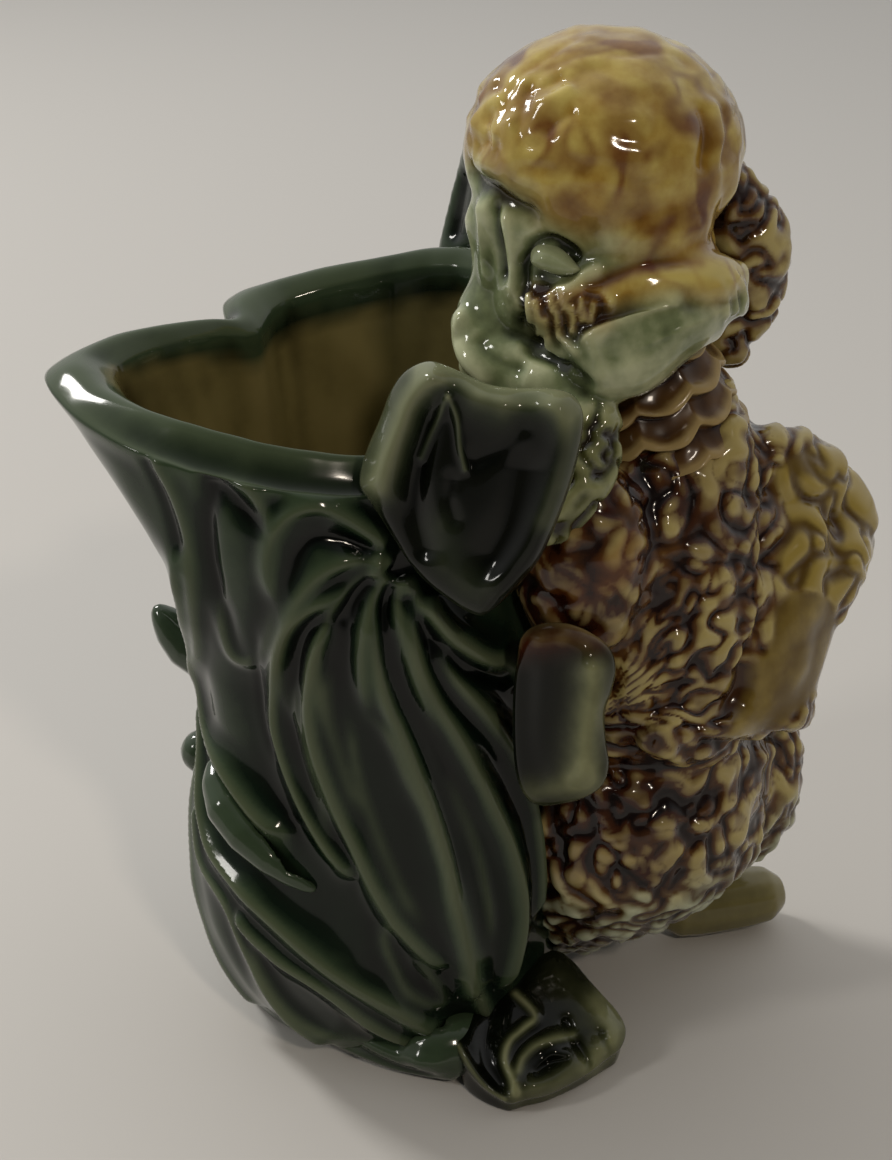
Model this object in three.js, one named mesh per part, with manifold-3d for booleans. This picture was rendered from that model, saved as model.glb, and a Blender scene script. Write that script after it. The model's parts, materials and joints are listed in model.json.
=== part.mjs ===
// Poodle vase: a glazed slip-cast planter, a leafy pouring vessel with a poodle seated against it.
// Millimetres, +Z up. The photographed side faces -Y, with the pouring lip towards -X.
import * as THREE from "three";
import { mergeVertices } from "three/addons/utils/BufferGeometryUtils.js";
import Module from "manifold-3d";

const wasm = await Module();
wasm.setup();

// Clearance between neighbouring forms, and the tolerances that weld a seam and thin out a cut
const seatGap = 0.3;
const weldTolerance = 0.0005;
const cutTolerance = 0.1;

// Vessel
const lipHeight = 140;
const bodyRadius = 40;
const wallThickness = 5;
const floorThickness = 7;
const pouringReach = 65;
const rimRoll = 3;
const footRelief = 1.5;
const lowerBulge = 3;

// Leaves on the vessel
const leafThickness = 3.4;
const leafRidge = 1.4;
const frontLeafWidth = 46;
const lowerLeafWidth = 21;
const footLeafWidth = 17;
const sweepLeafWidth = 19;
const foldLeafWidth = 15;
const hubLeafWidth = 13;
const sideLeafWidth = 12;
const backLeafWidth = 34;
const knotTurn = -72;
const knotRadius = 8;

// Leaf that stands behind the head, petal over the near rim, thorn, bud and sprig
const tallLeafTurn = 60;
const tallLeafWidth = 32;
const tallLeafThickness = 8;
const tallLeafRise = 56;
const petalTurn = -62;
const petalWidth = 34;
const petalHeight = 50;
const petalDepth = 22;
const petalEdgeRadius = 4.4;
const thornRadius = 5.4;
const budRadius = 4.6;
const sprigRadius = 3.6;

// Poodle: how far its seat stands out from the vessel's body, and the way its body and its face turn
const dogAcross = 14;
const dogNear = 5;
const dogHeading = -45;
const headTurn = -14;
const muzzleRoll = 10;

// Haunches, thigh and feet
const haunchClearance = 3;
const haunchHeight = 70;
const haunchWidth = 62;
const haunchDepth = 50;
const thighRadius = 16;
const footClearance = 0.3;
const nearFootLength = 37;
const nearFootWidth = 33;
const nearFootHeight = 14;
const nearFootTurn = -24;
const farFootLength = 31;
const farFootRadius = 7;
const farFootTurn = 58;

// Chest and arms
const chestHeight = 74;
const chestWidth = 60;
const chestDepth = 50;
const chestOverlap = 8;
const shoulderRadius = 14.5;
const armRadius = 9.5;
const pawRadius = 8;

// Collar
const collarTiers = 4;
const collarRise = 10;
const collarPitch = 5.2;
const collarRadius = 15;
const collarSpread = 2.4;
const collarThickness = 4.4;
const collarLean = 9;
const scallopCount = 11;
const scallopDepth = 1.3;

// Head
const headBack = 12;
const neckRise = 22;
const skullRadius = 22;
const topknotWidth = 51;
const topknotDepth = 50;
const topknotThickness = 42;
const muzzleLength = 30;
const muzzleWidth = 38;
const muzzleThickness = 22;
const noseRadius = 3.6;
const eyeRadius = 4.2;
const nearEarWidth = 16;
const farEarWidth = 19;
const farEarThickness = 14;

const toRadians = Math.PI / 180;
const upwards = new THREE.Vector3(0, 0, 1);

// Solids
function solidOf(geometry) {
  const bare = new THREE.BufferGeometry();
  bare.setAttribute("position", geometry.getAttribute("position"));
  bare.setIndex(geometry.getIndex());
  const merged = mergeVertices(bare, weldTolerance);
  const vertProperties = merged.getAttribute("position").array;
  const triVerts = new Uint32Array(merged.getIndex().array);
  return new wasm.Manifold(new wasm.Mesh({ numProp: 3, vertProperties, triVerts }));
}

// The solid of a closed geometry, with its faces turned outwards if they point in.
function facingOut(geometry) {
  const made = solidOf(geometry);
  if (made.volume() > 0) return made;
  const index = geometry.getIndex().array;
  for (let i = 0; i < index.length; i += 3) [index[i + 1], index[i + 2]] = [index[i + 2], index[i + 1]];
  return solidOf(geometry);
}

// A closed skin over rings of points: each ring closes on itself, and both ends close on a point.
function skin(rings, startPoint, endPoint) {
  const around = rings[0].length;
  const points = [startPoint, ...rings.flat(), endPoint];
  const last = points.length - 1;
  const faces = [];
  for (let k = 0; k < around; k++) {
    const next = (k + 1) % around;
    faces.push(0, 1 + next, 1 + k);
    for (let r = 0; r + 1 < rings.length; r++) {
      const low = 1 + r * around;
      const high = low + around;
      faces.push(low + k, low + next, high + next);
      faces.push(low + k, high + next, high + k);
    }
    faces.push(last - around + k, last - around + next, last);
  }
  const geometry = new THREE.BufferGeometry().setFromPoints(points);
  geometry.setIndex(faces);
  return facingOut(geometry);
}

// Reads a table of stations at a share of its length, easing between its rows.
function stationAt(stations, share) {
  const reach = share * (stations.length - 1);
  const row = Math.min(Math.floor(reach), stations.length - 2);
  const t = reach - row;
  const before = stations[Math.max(row - 1, 0)];
  const after = stations[Math.min(row + 2, stations.length - 1)];
  return stations[row].map((a, i) => {
    const b = stations[row + 1][i];
    const slopeA = (b - before[i]) / 2;
    const slopeB = (after[i] - a) / 2;
    const t2 = t * t;
    const t3 = t2 * t;
    const values = (2 * t3 - 3 * t2 + 1) * a + (3 * t2 - 2 * t3) * b;
    return values + (t3 - 2 * t2 + t) * slopeA + (t3 - t2) * slopeB;
  });
}

// A round-ended limb along a path: at each path point, its half-widths along the side and across it.
function limb({ path, halves, side, around = 12, steps = 8, capShare = 0.22 }, grow) {
  const curve = new THREE.CatmullRomCurve3(path, false, "centripetal");
  const rings = [];
  for (let i = 1; i < steps; i++) {
    const share = (1 - Math.cos((Math.PI * i) / steps)) / 2;
    const tangent = curve.getTangentAt(share);
    const along = side.clone().addScaledVector(tangent, -side.dot(tangent)).normalize();
    const over = tangent.clone().cross(along);
    const inCap = Math.min(share, 1 - share) / capShare;
    const round = inCap >= 1 ? 1 : Math.sqrt(1 - (1 - inCap) ** 2);
    const [wide, deep] = stationAt(halves, share).map((half) => half * round + grow);
    const ringPoint = (turn) =>
      curve
        .getPointAt(share)
        .addScaledVector(along, wide * Math.cos(turn))
        .addScaledVector(over, deep * Math.sin(turn));
    rings.push(Array.from({ length: around }, (_, k) => ringPoint((2 * Math.PI * k) / around)));
  }
  const start = curve.getPointAt(0).addScaledVector(curve.getTangentAt(0), -grow);
  const end = curve.getPointAt(1).addScaledVector(curve.getTangentAt(1), grow);
  return skin(rings, start, end);
}

// A rounded lump: three half-axes about a point, turned to a heading and rolled about it, in degrees.
function lump({ at, halves, heading = 0, roll = 0, around = 14, rows = 9 }, grow) {
  const geometry = new THREE.SphereGeometry(1, around, rows);
  const position = geometry.getAttribute("position");
  const turn = new THREE.Matrix4().makeRotationZ(heading * toRadians);
  turn.multiply(new THREE.Matrix4().makeRotationX(roll * toRadians));
  const p = new THREE.Vector3();
  for (let i = 0; i < position.count; i++) {
    p.fromBufferAttribute(position, i);
    p.set(p.x * (halves[0] + grow), p.z * (halves[1] + grow), p.y * (halves[2] + grow));
    p.applyMatrix4(turn).add(at);
    position.setXYZ(i, p.x, p.y, p.z);
  }
  return facingOut(geometry);
}

// The largest body that a cut leaves.
function largest(made) {
  return made.decompose().reduce((a, b) => (b.volume() > a.volume() ? b : a));
}

function boxesMeet(a, b) {
  return [0, 1, 2].every((i) => a.min[i] <= b.max[i] && b.min[i] <= a.max[i]);
}

// Named forms, in the order they are luted on: each is cut back by the seat gap from those before it.
const forms = new Map();

function form(name, material, make) {
  let solid = make(0);
  for (const other of forms.values()) {
    other.grown ??= other.make(seatGap);
    if (boxesMeet(solid.boundingBox(), other.grown.boundingBox())) solid = solid.subtract(other.grown);
  }
  forms.set(name, { make, material, solid: largest(solid.simplify(cutTolerance)) });
}

// Glazes
const glaze = (color, roughness) => new THREE.MeshStandardMaterial({ color, roughness, metalness: 0 });
const leafGlaze = glaze(0x2c4034, 0.12);
const paleGlaze = glaze(0x6f8163, 0.14);
const furGlaze = glaze(0x7c6a45, 0.18);
const topGlaze = glaze(0xa08f48, 0.15);

// Vessel wall: stations round the rim as [degrees round the axis, outer reach, inner reach, height], in
// shares of the rim's base there.
const rimShares = [
  [180, 1.0, 0.8, 1.0],
  [171, 0.909, 0.73, 1.006],
  [160, 0.775, 0.649, 1.006],
  [150, 0.73, 0.631, 1.0],
  [141, 0.755, 0.613, 0.99],
  [133, 1.007, 0.705, 1.004],
  [122, 1.064, 0.857, 1.012],
  [104, 1.129, 0.941, 1.03],
  [86, 1.17, 0.991, 1.045],
  [70, 1.17, 0.975, 1.064],
  [54, 1.105, 0.91, 1.071],
  [34, 0.975, 0.812, 1.071],
  [12, 0.812, 0.682, 1.049],
  [-12, 0.748, 0.618, 1.028],
  [-40, 0.78, 0.634, 0.997],
  [-66, 0.845, 0.682, 0.955],
  [-88, 0.894, 0.715, 0.93],
  [-106, 0.931, 0.729, 0.935],
  [-122, 0.94, 0.755, 0.95],
  [-138, 0.93, 0.76, 0.965],
  [-152, 0.94, 0.77, 0.98],
  [-164, 0.958, 0.775, 0.99],
  [-173, 0.991, 0.79, 1.0],
];
// Body radius up the wall from the foot to the rim, in shares of itself, and how the wall flares.
const bodyShares = [[0.9], [0.98], [1.0], [0.99], [0.96], [0.94], [0.94], [0.96], [1.0], [1.03]];
const flareStartShare = 0.56;
const flarePower = 1.6;
const columnCount = 38;
const wallRows = 12;
const cavityRows = 5;
const rimRows = 3;

// The rim's base: the body's radius and the lip's height, but the pouring reach towards the lip, and the
// height of the dog's neck beside the dog.
const chestLow = haunchHeight - chestOverlap;
const neckHeight = chestLow + chestHeight;
function rimBase(angle) {
  const towardLip = Math.max(0, -Math.cos(angle)) ** 2;
  const besideDog = Math.max(0, Math.cos(angle)) ** 2;
  return {
    reach: THREE.MathUtils.lerp(bodyRadius, pouringReach, towardLip),
    height: THREE.MathUtils.lerp(lipHeight, neckHeight, besideDog),
  };
}

// A row of the rim table, counted on past either end, a lap at a time.
function rimRow(i) {
  const laps = Math.floor(i / rimShares.length);
  const [degrees, ...rest] = rimShares[i - laps * rimShares.length];
  return [degrees - 360 * laps, ...rest];
}

function rimAt(turnShare) {
  const reach = turnShare * rimShares.length;
  const row = Math.floor(reach);
  const four = [rimRow(row - 1), rimRow(row), rimRow(row + 1), rimRow(row + 2)];
  const [degrees, outer, inner, height] = stationAt(four, (1 + reach - row) / 3);
  const angle = degrees * toRadians;
  const base = rimBase(angle);
  return { angle, outer: outer * base.reach, inner: inner * base.reach, height: height * base.height };
}

const columns = Array.from({ length: columnCount }, (_, k) => rimAt(k / columnCount));
const rimMeanHeight = columns.reduce((sum, rim) => sum + rim.height, 0) / columnCount;
const bodyRadiusAt = (share) => stationAt(bodyShares, share)[0] * bodyRadius;

// A point of the wall: the plain body's reach below, drawn out to the rim's reach above.
function flared(rim, share, plain, rimPlain, rimReach) {
  const rise = Math.max(0, (share - flareStartShare) / (1 - flareStartShare)) ** flarePower;
  const reach = plain + rise * (rimReach - rimPlain);
  return new THREE.Vector3(reach * Math.cos(rim.angle), reach * Math.sin(rim.angle), share * rim.height);
}

function wallPoint(rim, share, grow = 0) {
  const nearSide = Math.max(0, -Math.sin(rim.angle));
  const bulge = lowerBulge * nearSide * Math.max(0, Math.sin(2 * Math.PI * share));
  return flared(rim, share, bodyRadiusAt(share) + bulge + grow, bodyRadiusAt(1), rim.outer);
}

function cavityPoint(rim, share) {
  return flared(rim, share, bodyRadiusAt(share) - wallThickness, bodyRadiusAt(1) - wallThickness, rim.inner);
}

// The rolled rim, from the wall's outer edge to the cavity's.
function rimRings(grow) {
  return Array.from({ length: rimRows + 1 }, (_, r) => {
    const rise = Math.sin((Math.PI * r) / rimRows) * rimRoll + grow;
    const across = (rim) => wallPoint(rim, 1, grow).lerp(cavityPoint(rim, 1), r / rimRows);
    return columns.map((rim) => across(rim).addScaledVector(upwards, rise));
  });
}

// The vessel's outer form, filled to the rim.
function filledVessel(grow) {
  const wall = Array.from({ length: wallRows }, (_, r) =>
    columns.map((rim) => wallPoint(rim, r / wallRows, grow).addScaledVector(upwards, r === 0 ? -grow : 0)),
  );
  const foot = upwards.clone().multiplyScalar(-grow);
  return skin([...wall, ...rimRings(grow)], foot, upwards.clone().multiplyScalar(rimMeanHeight + grow));
}

// The vessel with its cavity, its rolled rim and the small bevel of its foot.
function vessel() {
  const foot = columns.map((rim) => wallPoint(rim, 0, -footRelief));
  const wall = Array.from({ length: wallRows }, (_, r) =>
    columns.map((rim) => wallPoint(rim, r === 0 ? footRelief / rim.height : r / wallRows)),
  );
  const cavity = Array.from({ length: cavityRows }, (_, r) =>
    columns.map((rim) => {
      const floorShare = floorThickness / rim.height;
      return cavityPoint(rim, 1 - ((r + 1) / cavityRows) * (1 - floorShare));
    }),
  );
  const floor = upwards.clone().multiplyScalar(floorThickness);
  return skin([foot, ...wall, ...rimRings(0), ...cavity], new THREE.Vector3(), floor);
}

forms.set("vase_vessel", { make: filledVessel, material: leafGlaze, solid: vessel() });

function turnBetween(from, to) {
  return Math.atan2(Math.sin(to - from), Math.cos(to - from));
}

// The rim's reach and height in a direction given in degrees.
function rimToward(degrees) {
  const angle = degrees * toRadians;
  const nearest = columns.findIndex((rim, i) => {
    const span = turnBetween(rim.angle, columns[(i + 1) % columnCount].angle);
    const along = turnBetween(rim.angle, angle);
    return along <= 0 && along > span;
  });
  const a = columns[Math.max(nearest, 0)];
  const b = columns[(Math.max(nearest, 0) + 1) % columnCount];
  const along = turnBetween(a.angle, angle) / turnBetween(a.angle, b.angle);
  const between = (key) => a[key] + (b[key] - a[key]) * along;
  return { angle, outer: between("outer"), height: between("height") };
}

// The wall's surface at a direction in degrees and a share of the height.
const onWall = (degrees, share, grow = 0) => wallPoint(rimToward(degrees), share, grow);

// A leaf laid on the wall: its midrib as [degrees, height share, width share], ridged along its length.
function wallLeaf({ midribShares, width, ridges, steps = 9, across = 8 }, grow) {
  const rings = [];
  for (let i = 1; i < steps; i++) {
    const [degrees, height, widthShare] = stationAt(midribShares, i / steps);
    const [aheadDegrees, aheadHeight] = stationAt(midribShares, (i + 1) / steps);
    const [behindDegrees, behindHeight] = stationAt(midribShares, (i - 1) / steps);
    const here = onWall(degrees, height);
    const forward = onWall(aheadDegrees, aheadHeight).sub(onWall(behindDegrees, behindHeight)).normalize();
    const outward = new THREE.Vector3(here.x, here.y, 0).normalize();
    const beside = forward.clone().cross(outward).normalize();
    const half = (width * widthShare) / 2 + grow;
    const top = [];
    const under = [];
    for (let j = 0; j <= across; j++) {
      const b = (2 * j) / across - 1;
      const p = here.clone().addScaledVector(beside, b * half);
      const heightShare = THREE.MathUtils.clamp((p.z / here.z) * height, 0, 1);
      const at = Math.atan2(p.y, p.x) / toRadians;
      const edge = Math.sqrt(1 - b ** 4);
      const ridge = leafRidge * Math.cos((Math.PI * ridges * b) / 2) ** 2;
      top.push(onWall(at, heightShare, grow + edge * (leafThickness - leafRidge + ridge)));
      if (j > 0 && j < across) under.unshift(onWall(at, heightShare, -wallThickness * edge));
    }
    rings.push([...top, ...under]);
  }
  const [rootDegrees, rootHeight] = midribShares[0];
  const [tipDegrees, tipHeight] = midribShares[midribShares.length - 1];
  return skin(rings, onWall(rootDegrees, rootHeight), onWall(tipDegrees, tipHeight));
}

// Each leaf's midrib, from its root to its tip.
const frontLeafShares = [
  [-88, 0.89, 0.1],
  [-89, 0.78, 0.72],
  [-86, 0.65, 1.0],
  [-80, 0.52, 0.98],
  [-70, 0.4, 0.84],
  [-62, 0.27, 0.6],
  [-57, 0.14, 0.34],
  [-55, 0.03, 0.08],
];
const lowerLeafShares = [
  [-166, 0.45, 0.1],
  [-150, 0.35, 0.8],
  [-132, 0.29, 1.0],
  [-113, 0.23, 1.0],
  [-96, 0.16, 0.8],
  [-80, 0.09, 0.5],
  [-68, 0.04, 0.1],
];
const footLeafShares = [
  [-174, 0.4, 0.1],
  [-160, 0.25, 0.8],
  [-142, 0.15, 1.0],
  [-122, 0.09, 0.9],
  [-100, 0.05, 0.6],
  [-84, 0.03, 0.1],
];
const sweepLeafShares = [
  [-162, 0.97, 0.3],
  [-151, 0.88, 0.8],
  [-145, 0.75, 1.0],
  [-143, 0.6, 1.0],
  [-134, 0.48, 0.9],
  [-120, 0.41, 0.6],
  [-106, 0.36, 0.1],
];
const foldLeafShares = [
  [-122, 0.94, 0.5],
  [-124, 0.85, 1.0],
  [-127, 0.75, 0.9],
  [-129, 0.66, 0.1],
];
const hubLeafShares = [
  [-94, 0.88, 0.3],
  [-104, 0.91, 0.9],
  [-112, 0.87, 1.0],
  [-113, 0.8, 0.2],
];
const sideLeafShares = [
  [-74, 0.84, 0.2],
  [-58, 0.76, 0.9],
  [-42, 0.66, 1.0],
  [-33, 0.52, 0.8],
  [-32, 0.4, 0.1],
];
const backLeafShares = [
  [100, 0.9, 0.2],
  [104, 0.72, 0.9],
  [110, 0.5, 1.0],
  [106, 0.26, 0.8],
  [98, 0.06, 0.2],
];
const wallLeaves = {
  front_leaf: { midribShares: frontLeafShares, width: frontLeafWidth, ridges: 5, across: 14 },
  lower_leaf: { midribShares: lowerLeafShares, width: lowerLeafWidth, ridges: 3 },
  foot_leaf: { midribShares: footLeafShares, width: footLeafWidth, ridges: 1 },
  sweep_leaf: { midribShares: sweepLeafShares, width: sweepLeafWidth, ridges: 1 },
  fold_leaf: { midribShares: foldLeafShares, width: foldLeafWidth, ridges: 1, steps: 7 },
  hub_leaf: { midribShares: hubLeafShares, width: hubLeafWidth, ridges: 1, steps: 7 },
  side_leaf: { midribShares: sideLeafShares, width: sideLeafWidth, ridges: 1, steps: 8 },
  back_leaf: { midribShares: backLeafShares, width: backLeafWidth, ridges: 3 },
};
for (const [name, leaf] of Object.entries(wallLeaves)) form(name, leafGlaze, (grow) => wallLeaf(leaf, grow));

// Points round the vessel's axis, as degrees and shares of the body's radius and of the lip's height.
function roundAxis([degrees, reachShare, upShare]) {
  const turn = degrees * toRadians;
  const reach = reachShare * bodyRadius;
  return new THREE.Vector3(reach * Math.cos(turn), reach * Math.sin(turn), upShare * lipHeight);
}

// The same, as shares of the rim's own reach and height in that direction.
function byRim([degrees, reachShare, upShare]) {
  const { angle, outer, height } = rimToward(degrees);
  const reach = reachShare * outer;
  return new THREE.Vector3(reach * Math.cos(angle), reach * Math.sin(angle), upShare * height);
}

function tangentAt(degrees) {
  const turn = degrees * toRadians;
  return new THREE.Vector3(-Math.sin(turn), Math.cos(turn), 0);
}

const towards = (degrees) => tangentAt(degrees).cross(upwards);

const sized = (rowShares, sizes) => rowShares.map((row) => row.map((share, i) => share * sizes[i]));
const roundHalves = (rowShares, radius) => rowShares.map(([share]) => [share * radius, share * radius]);

// The leaf that stands behind the head: [lean across its thickness, rise] and its half-widths.
const tallLeafPathShares = [
  [-0.4, 0.0],
  [0.2, 0.35],
  [0.5, 0.7],
  [-0.4, 1.0],
];
const tallLeafHalfShares = [
  [0.5, 0.5],
  [0.52, 0.5],
  [0.4, 0.5],
  [0.2, 0.36],
];
const tallLeafSeatShares = [1.022, 0.848];
form("tall_leaf", leafGlaze, (grow) => {
  const outward = towards(tallLeafTurn);
  const path = sized(tallLeafPathShares, [tallLeafThickness, tallLeafRise]).map(([lean, rise]) =>
    byRim([tallLeafTurn, ...tallLeafSeatShares])
      .addScaledVector(outward, lean)
      .addScaledVector(upwards, rise),
  );
  const halves = sized(tallLeafHalfShares, [tallLeafWidth, tallLeafThickness]);
  return limb({ path, halves, side: tangentAt(tallLeafTurn) }, grow);
});

// The petal that cups out over the near rim, and the rounded edge that rises to it from the rim.
const petalSeatShare = 0.774;
const petalReachShares = [1.056, 1.229, 1.253, 1.181, 1.104];
const petalHalfShares = [
  [0.16, 0.16],
  [0.38, 0.4],
  [0.5, 0.5],
  [0.5, 0.44],
  [0.42, 0.26],
];
form("front_petal", leafGlaze, (grow) => {
  const path = petalReachShares.map((reachShare, i) =>
    byRim([petalTurn, reachShare, petalSeatShare]).addScaledVector(
      upwards,
      (petalHeight * i) / (petalReachShares.length - 1),
    ),
  );
  const halves = sized(petalHalfShares, [petalWidth, petalDepth]);
  return limb({ path, halves, side: tangentAt(petalTurn), around: 16, steps: 10, capShare: 0.16 }, grow);
});
const petalEdgeShares = [
  [-96, 0.995, 0.989],
  [-86, 1.09, 1.073],
  [-77, 1.118, 1.139],
  [-68, 1.107, 1.144],
];
form("petal_edge", paleGlaze, (grow) => {
  const halves = petalEdgeShares.map(() => [petalEdgeRadius, petalEdgeRadius]);
  const side = tangentAt(petalTurn).cross(upwards);
  return limb({ path: petalEdgeShares.map(byRim), halves, side, around: 12 }, grow);
});

// The knot where the leaf tips meet at the foot.
const knotSeatShares = [1.02, 0.051];
const knotHalfShares = [1, 1.3, 0.85];
form("leaf_knot", leafGlaze, (grow) => {
  const halves = knotHalfShares.map((share) => share * knotRadius);
  return lump({ at: roundAxis([knotTurn, ...knotSeatShares]), halves, heading: knotTurn }, grow);
});

// The thorn, the bud and the curled sprig on the lip's side.
const thornShares = [
  [166, 0.86, 0.5],
  [166, 1.1, 0.52],
  [166, 1.29, 0.58],
];
const thornHalfShares = [[1.2], [1], [0.4]];
form("upper_thorn", leafGlaze, (grow) => {
  const halves = roundHalves(thornHalfShares, thornRadius);
  return limb({ path: thornShares.map(roundAxis), halves, side: tangentAt(thornShares[0][0]) }, grow);
});
const budShares = [180, 1.0, 0.375];
form("lower_bud", leafGlaze, (grow) =>
  lump({ at: roundAxis(budShares), halves: [budRadius, budRadius, budRadius], around: 12, rows: 8 }, grow),
);
const sprigShares = [
  [-150, 1.0, 0.46],
  [-138, 1.06, 0.42],
  [-124, 1.08, 0.38],
  [-108, 1.06, 0.33],
];
const sprigHalfShares = [[0.8], [1.2], [0.9], [0.5]];
form("curled_sprig", paleGlaze, (grow) => {
  const halves = roundHalves(sprigHalfShares, sprigRadius);
  return limb({ path: sprigShares.map(roundAxis), halves, side: upwards }, grow);
});

// Poodle: points from its own seat, as forward, to its left (the far side) and up.
const dogSeat = new THREE.Vector3(bodyRadius + dogAcross, -dogNear, 0);
function frameAt(seat, degrees) {
  const ahead = towards(degrees);
  const left = tangentAt(degrees);
  return (forward, side, up) =>
    seat.clone().addScaledVector(ahead, forward).addScaledVector(left, side).addScaledVector(upwards, up);
}
const dogPoint = frameAt(dogSeat, dogHeading);
const dogLeft = tangentAt(dogHeading);

// An upright form: stations of [width, depth, forward, left] from its foot to its top, in its own shares.
function uprightForm({ low, high, width, depth, stationShares }, grow) {
  const rise = (high - low) / (stationShares.length - 1);
  const path = stationShares.map(([, , forward, left], i) =>
    dogPoint(forward * depth, left * width, low + rise * i),
  );
  const halves = stationShares.map(([w, d]) => [(w * width) / 2, (d * depth) / 2]);
  return limb({ path, halves, side: dogLeft, around: 20, steps: 9, capShare: 0.12 }, grow);
}

const haunches = {
  low: haunchClearance,
  high: haunchHeight,
  width: haunchWidth,
  depth: haunchDepth,
  stationShares: [
    [0.5, 0.28, -0.34, -0.04],
    [0.88, 0.6, -0.24, -0.03],
    [1.04, 0.88, -0.12, 0.0],
    [1.06, 1.06, -0.02, 0.0],
    [1.0, 1.0, -0.02, 0.0],
    [0.86, 0.86, -0.04, 0.0],
  ],
};
const chest = {
  low: chestLow,
  high: neckHeight,
  width: chestWidth,
  depth: chestDepth,
  stationShares: [
    [0.75, 0.78, -0.04, 0.0],
    [0.95, 0.96, 0.0, 0.0],
    [1.0, 1.02, 0.0, 0.0],
    [1.0, 0.98, -0.04, 0.01],
    [0.92, 0.88, -0.1, 0.01],
    [0.68, 0.7, -0.16, -0.02],
  ],
};
form("haunches", furGlaze, (grow) => uprightForm(haunches, grow));
form("chest", furGlaze, (grow) => uprightForm(chest, grow));

// Places on the haunches and on the chest, in shares of their depth, width and height.
const onHaunch = ([forward, left, up]) =>
  dogPoint(forward * haunchDepth, left * haunchWidth, up * haunchHeight);
const onChest = ([forward, left, up]) =>
  dogPoint(forward * chestDepth, left * chestWidth, chestLow + up * chestHeight);

const thighSeatShares = [0.14, 0.37, 0.6];
const thighHalfShares = [0.95, 0.95, 1.35];
form("far_thigh", furGlaze, (grow) => {
  const halves = thighHalfShares.map((share) => share * thighRadius);
  return lump({ at: onHaunch(thighSeatShares), halves, heading: dogHeading }, grow);
});

// Near foot, with three toes, splayed out from the vessel's foot.
const nearFootSeatShares = [0.14, -0.637, 0];
const nearFootHeading = dogHeading + nearFootTurn;
const nearFootSizes = [nearFootLength, nearFootWidth, nearFootHeight];
const nearFootPlace = frameAt(onHaunch(nearFootSeatShares), nearFootHeading);
const nearFootPathShares = [
  [-0.5, 0, 0.53],
  [-0.2, 0, 0.57],
  [0.1, 0, 0.53],
  [0.3, 0, 0.48],
];
const nearFootHalfShares = [
  [0.26, 0.4],
  [0.4, 0.54],
  [0.45, 0.5],
  [0.4, 0.42],
];
function footLimb(pathShares, halfShares, more, grow) {
  const path = sized(pathShares, nearFootSizes).map((place) => nearFootPlace(...place));
  const halves = sized(halfShares, [nearFootWidth, nearFootHeight]);
  return limb({ path, halves, side: tangentAt(nearFootHeading), ...more }, grow);
}
form("near_foot", leafGlaze, (grow) => footLimb(nearFootPathShares, nearFootHalfShares, {}, grow));
const toeSideShares = [-0.31, 0, 0.31];
const toeHalfShares = [
  [0.15, 0.46],
  [0.165, 0.44],
  [0.14, 0.36],
];
for (const [toe, sideShare] of toeSideShares.entries()) {
  const toePathShares = [
    [0.16, sideShare, 0.5],
    [0.34, sideShare, 0.48],
    [0.5 - 0.16 * Math.abs(sideShare), sideShare, 0.42],
  ];
  const more = { around: 10, steps: 7, capShare: 0.4 };
  form(`near_toe_${toe + 1}`, leafGlaze, (grow) => footLimb(toePathShares, toeHalfShares, more, grow));
}

// Far foot: a plain rounded foot out to the far side.
const farFootHeading = dogHeading + farFootTurn;
const farFootSeatShares = [0.128, 0.371, 0];
const farFootPathShares = [[-0.5], [0], [0.5]];
const farFootHalfShares = [[1], [1], [0.92]];
form("far_foot", topGlaze, (grow) => {
  const place = frameAt(onHaunch(farFootSeatShares), farFootHeading);
  const up = farFootRadius + footClearance;
  const path = sized(farFootPathShares, [farFootLength]).map(([forward]) => place(forward, 0, up));
  const halves = roundHalves(farFootHalfShares, farFootRadius);
  return limb({ path, halves, side: tangentAt(farFootHeading) }, grow);
});

// Shoulders and arms.
const nearShoulderShares = [0.114, -0.55, 0.69];
const farShoulderShares = [0.22, 0.575, 0.5];
const nearShoulderHalfShares = [1, 1, 1.1];
const farShoulderHalfShares = [1.02, 1, 1.22];
function shoulder(seatShares, halfShares) {
  const halves = halfShares.map((share) => share * shoulderRadius);
  return (grow) => lump({ at: onChest(seatShares), halves, heading: dogHeading }, grow);
}
form("near_shoulder", furGlaze, shoulder(nearShoulderShares, nearShoulderHalfShares));
form("far_shoulder", topGlaze, shoulder(farShoulderShares, farShoulderHalfShares));
const nearPawShares = [
  [0.2, -0.567, 0.58],
  [0.24, -0.567, 0.405],
  [0.28, -0.583, 0.23],
  [0.22, -0.633, 0.054],
];
const nearPawHalfShares = [[0.68], [0.88], [1], [1]];
form("near_paw", leafGlaze, (grow) => {
  const halves = roundHalves(nearPawHalfShares, pawRadius);
  return limb({ path: nearPawShares.map(onChest), halves, side: dogLeft }, grow);
});
const farArmShares = [
  [0.22, 0.517, 0.446],
  [0.26, 0.5, 0.243],
  [0.28, 0.4, 0.12],
  [0.34, 0.1, 0.135],
  [0.3, -0.2, 0.19],
  [0.24, -0.367, 0.23],
];
const farArmHalfShares = [[1], [1.1], [1], [0.9], [0.8], [0.6]];
form("far_arm", furGlaze, (grow) => {
  const halves = roundHalves(farArmHalfShares, armRadius);
  return limb({ path: farArmShares.map(onChest), halves, side: upwards, steps: 12 }, grow);
});

// Head: places from the middle of the skull, in shares of its radius, facing where the head turns to.
const faceHeading = dogHeading + headTurn;
const headLeftShare = -1 / 3;
const headSeat = dogPoint(-headBack, headLeftShare * headBack, neckHeight + neckRise);
const headPlace = frameAt(headSeat, faceHeading);
const onHead = (placeShares) => headPlace(...placeShares.map((share) => share * skullRadius));
function headLump(seatShares, halves, more = {}) {
  return (grow) => lump({ at: onHead(seatShares), halves, heading: faceHeading, ...more }, grow);
}

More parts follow.
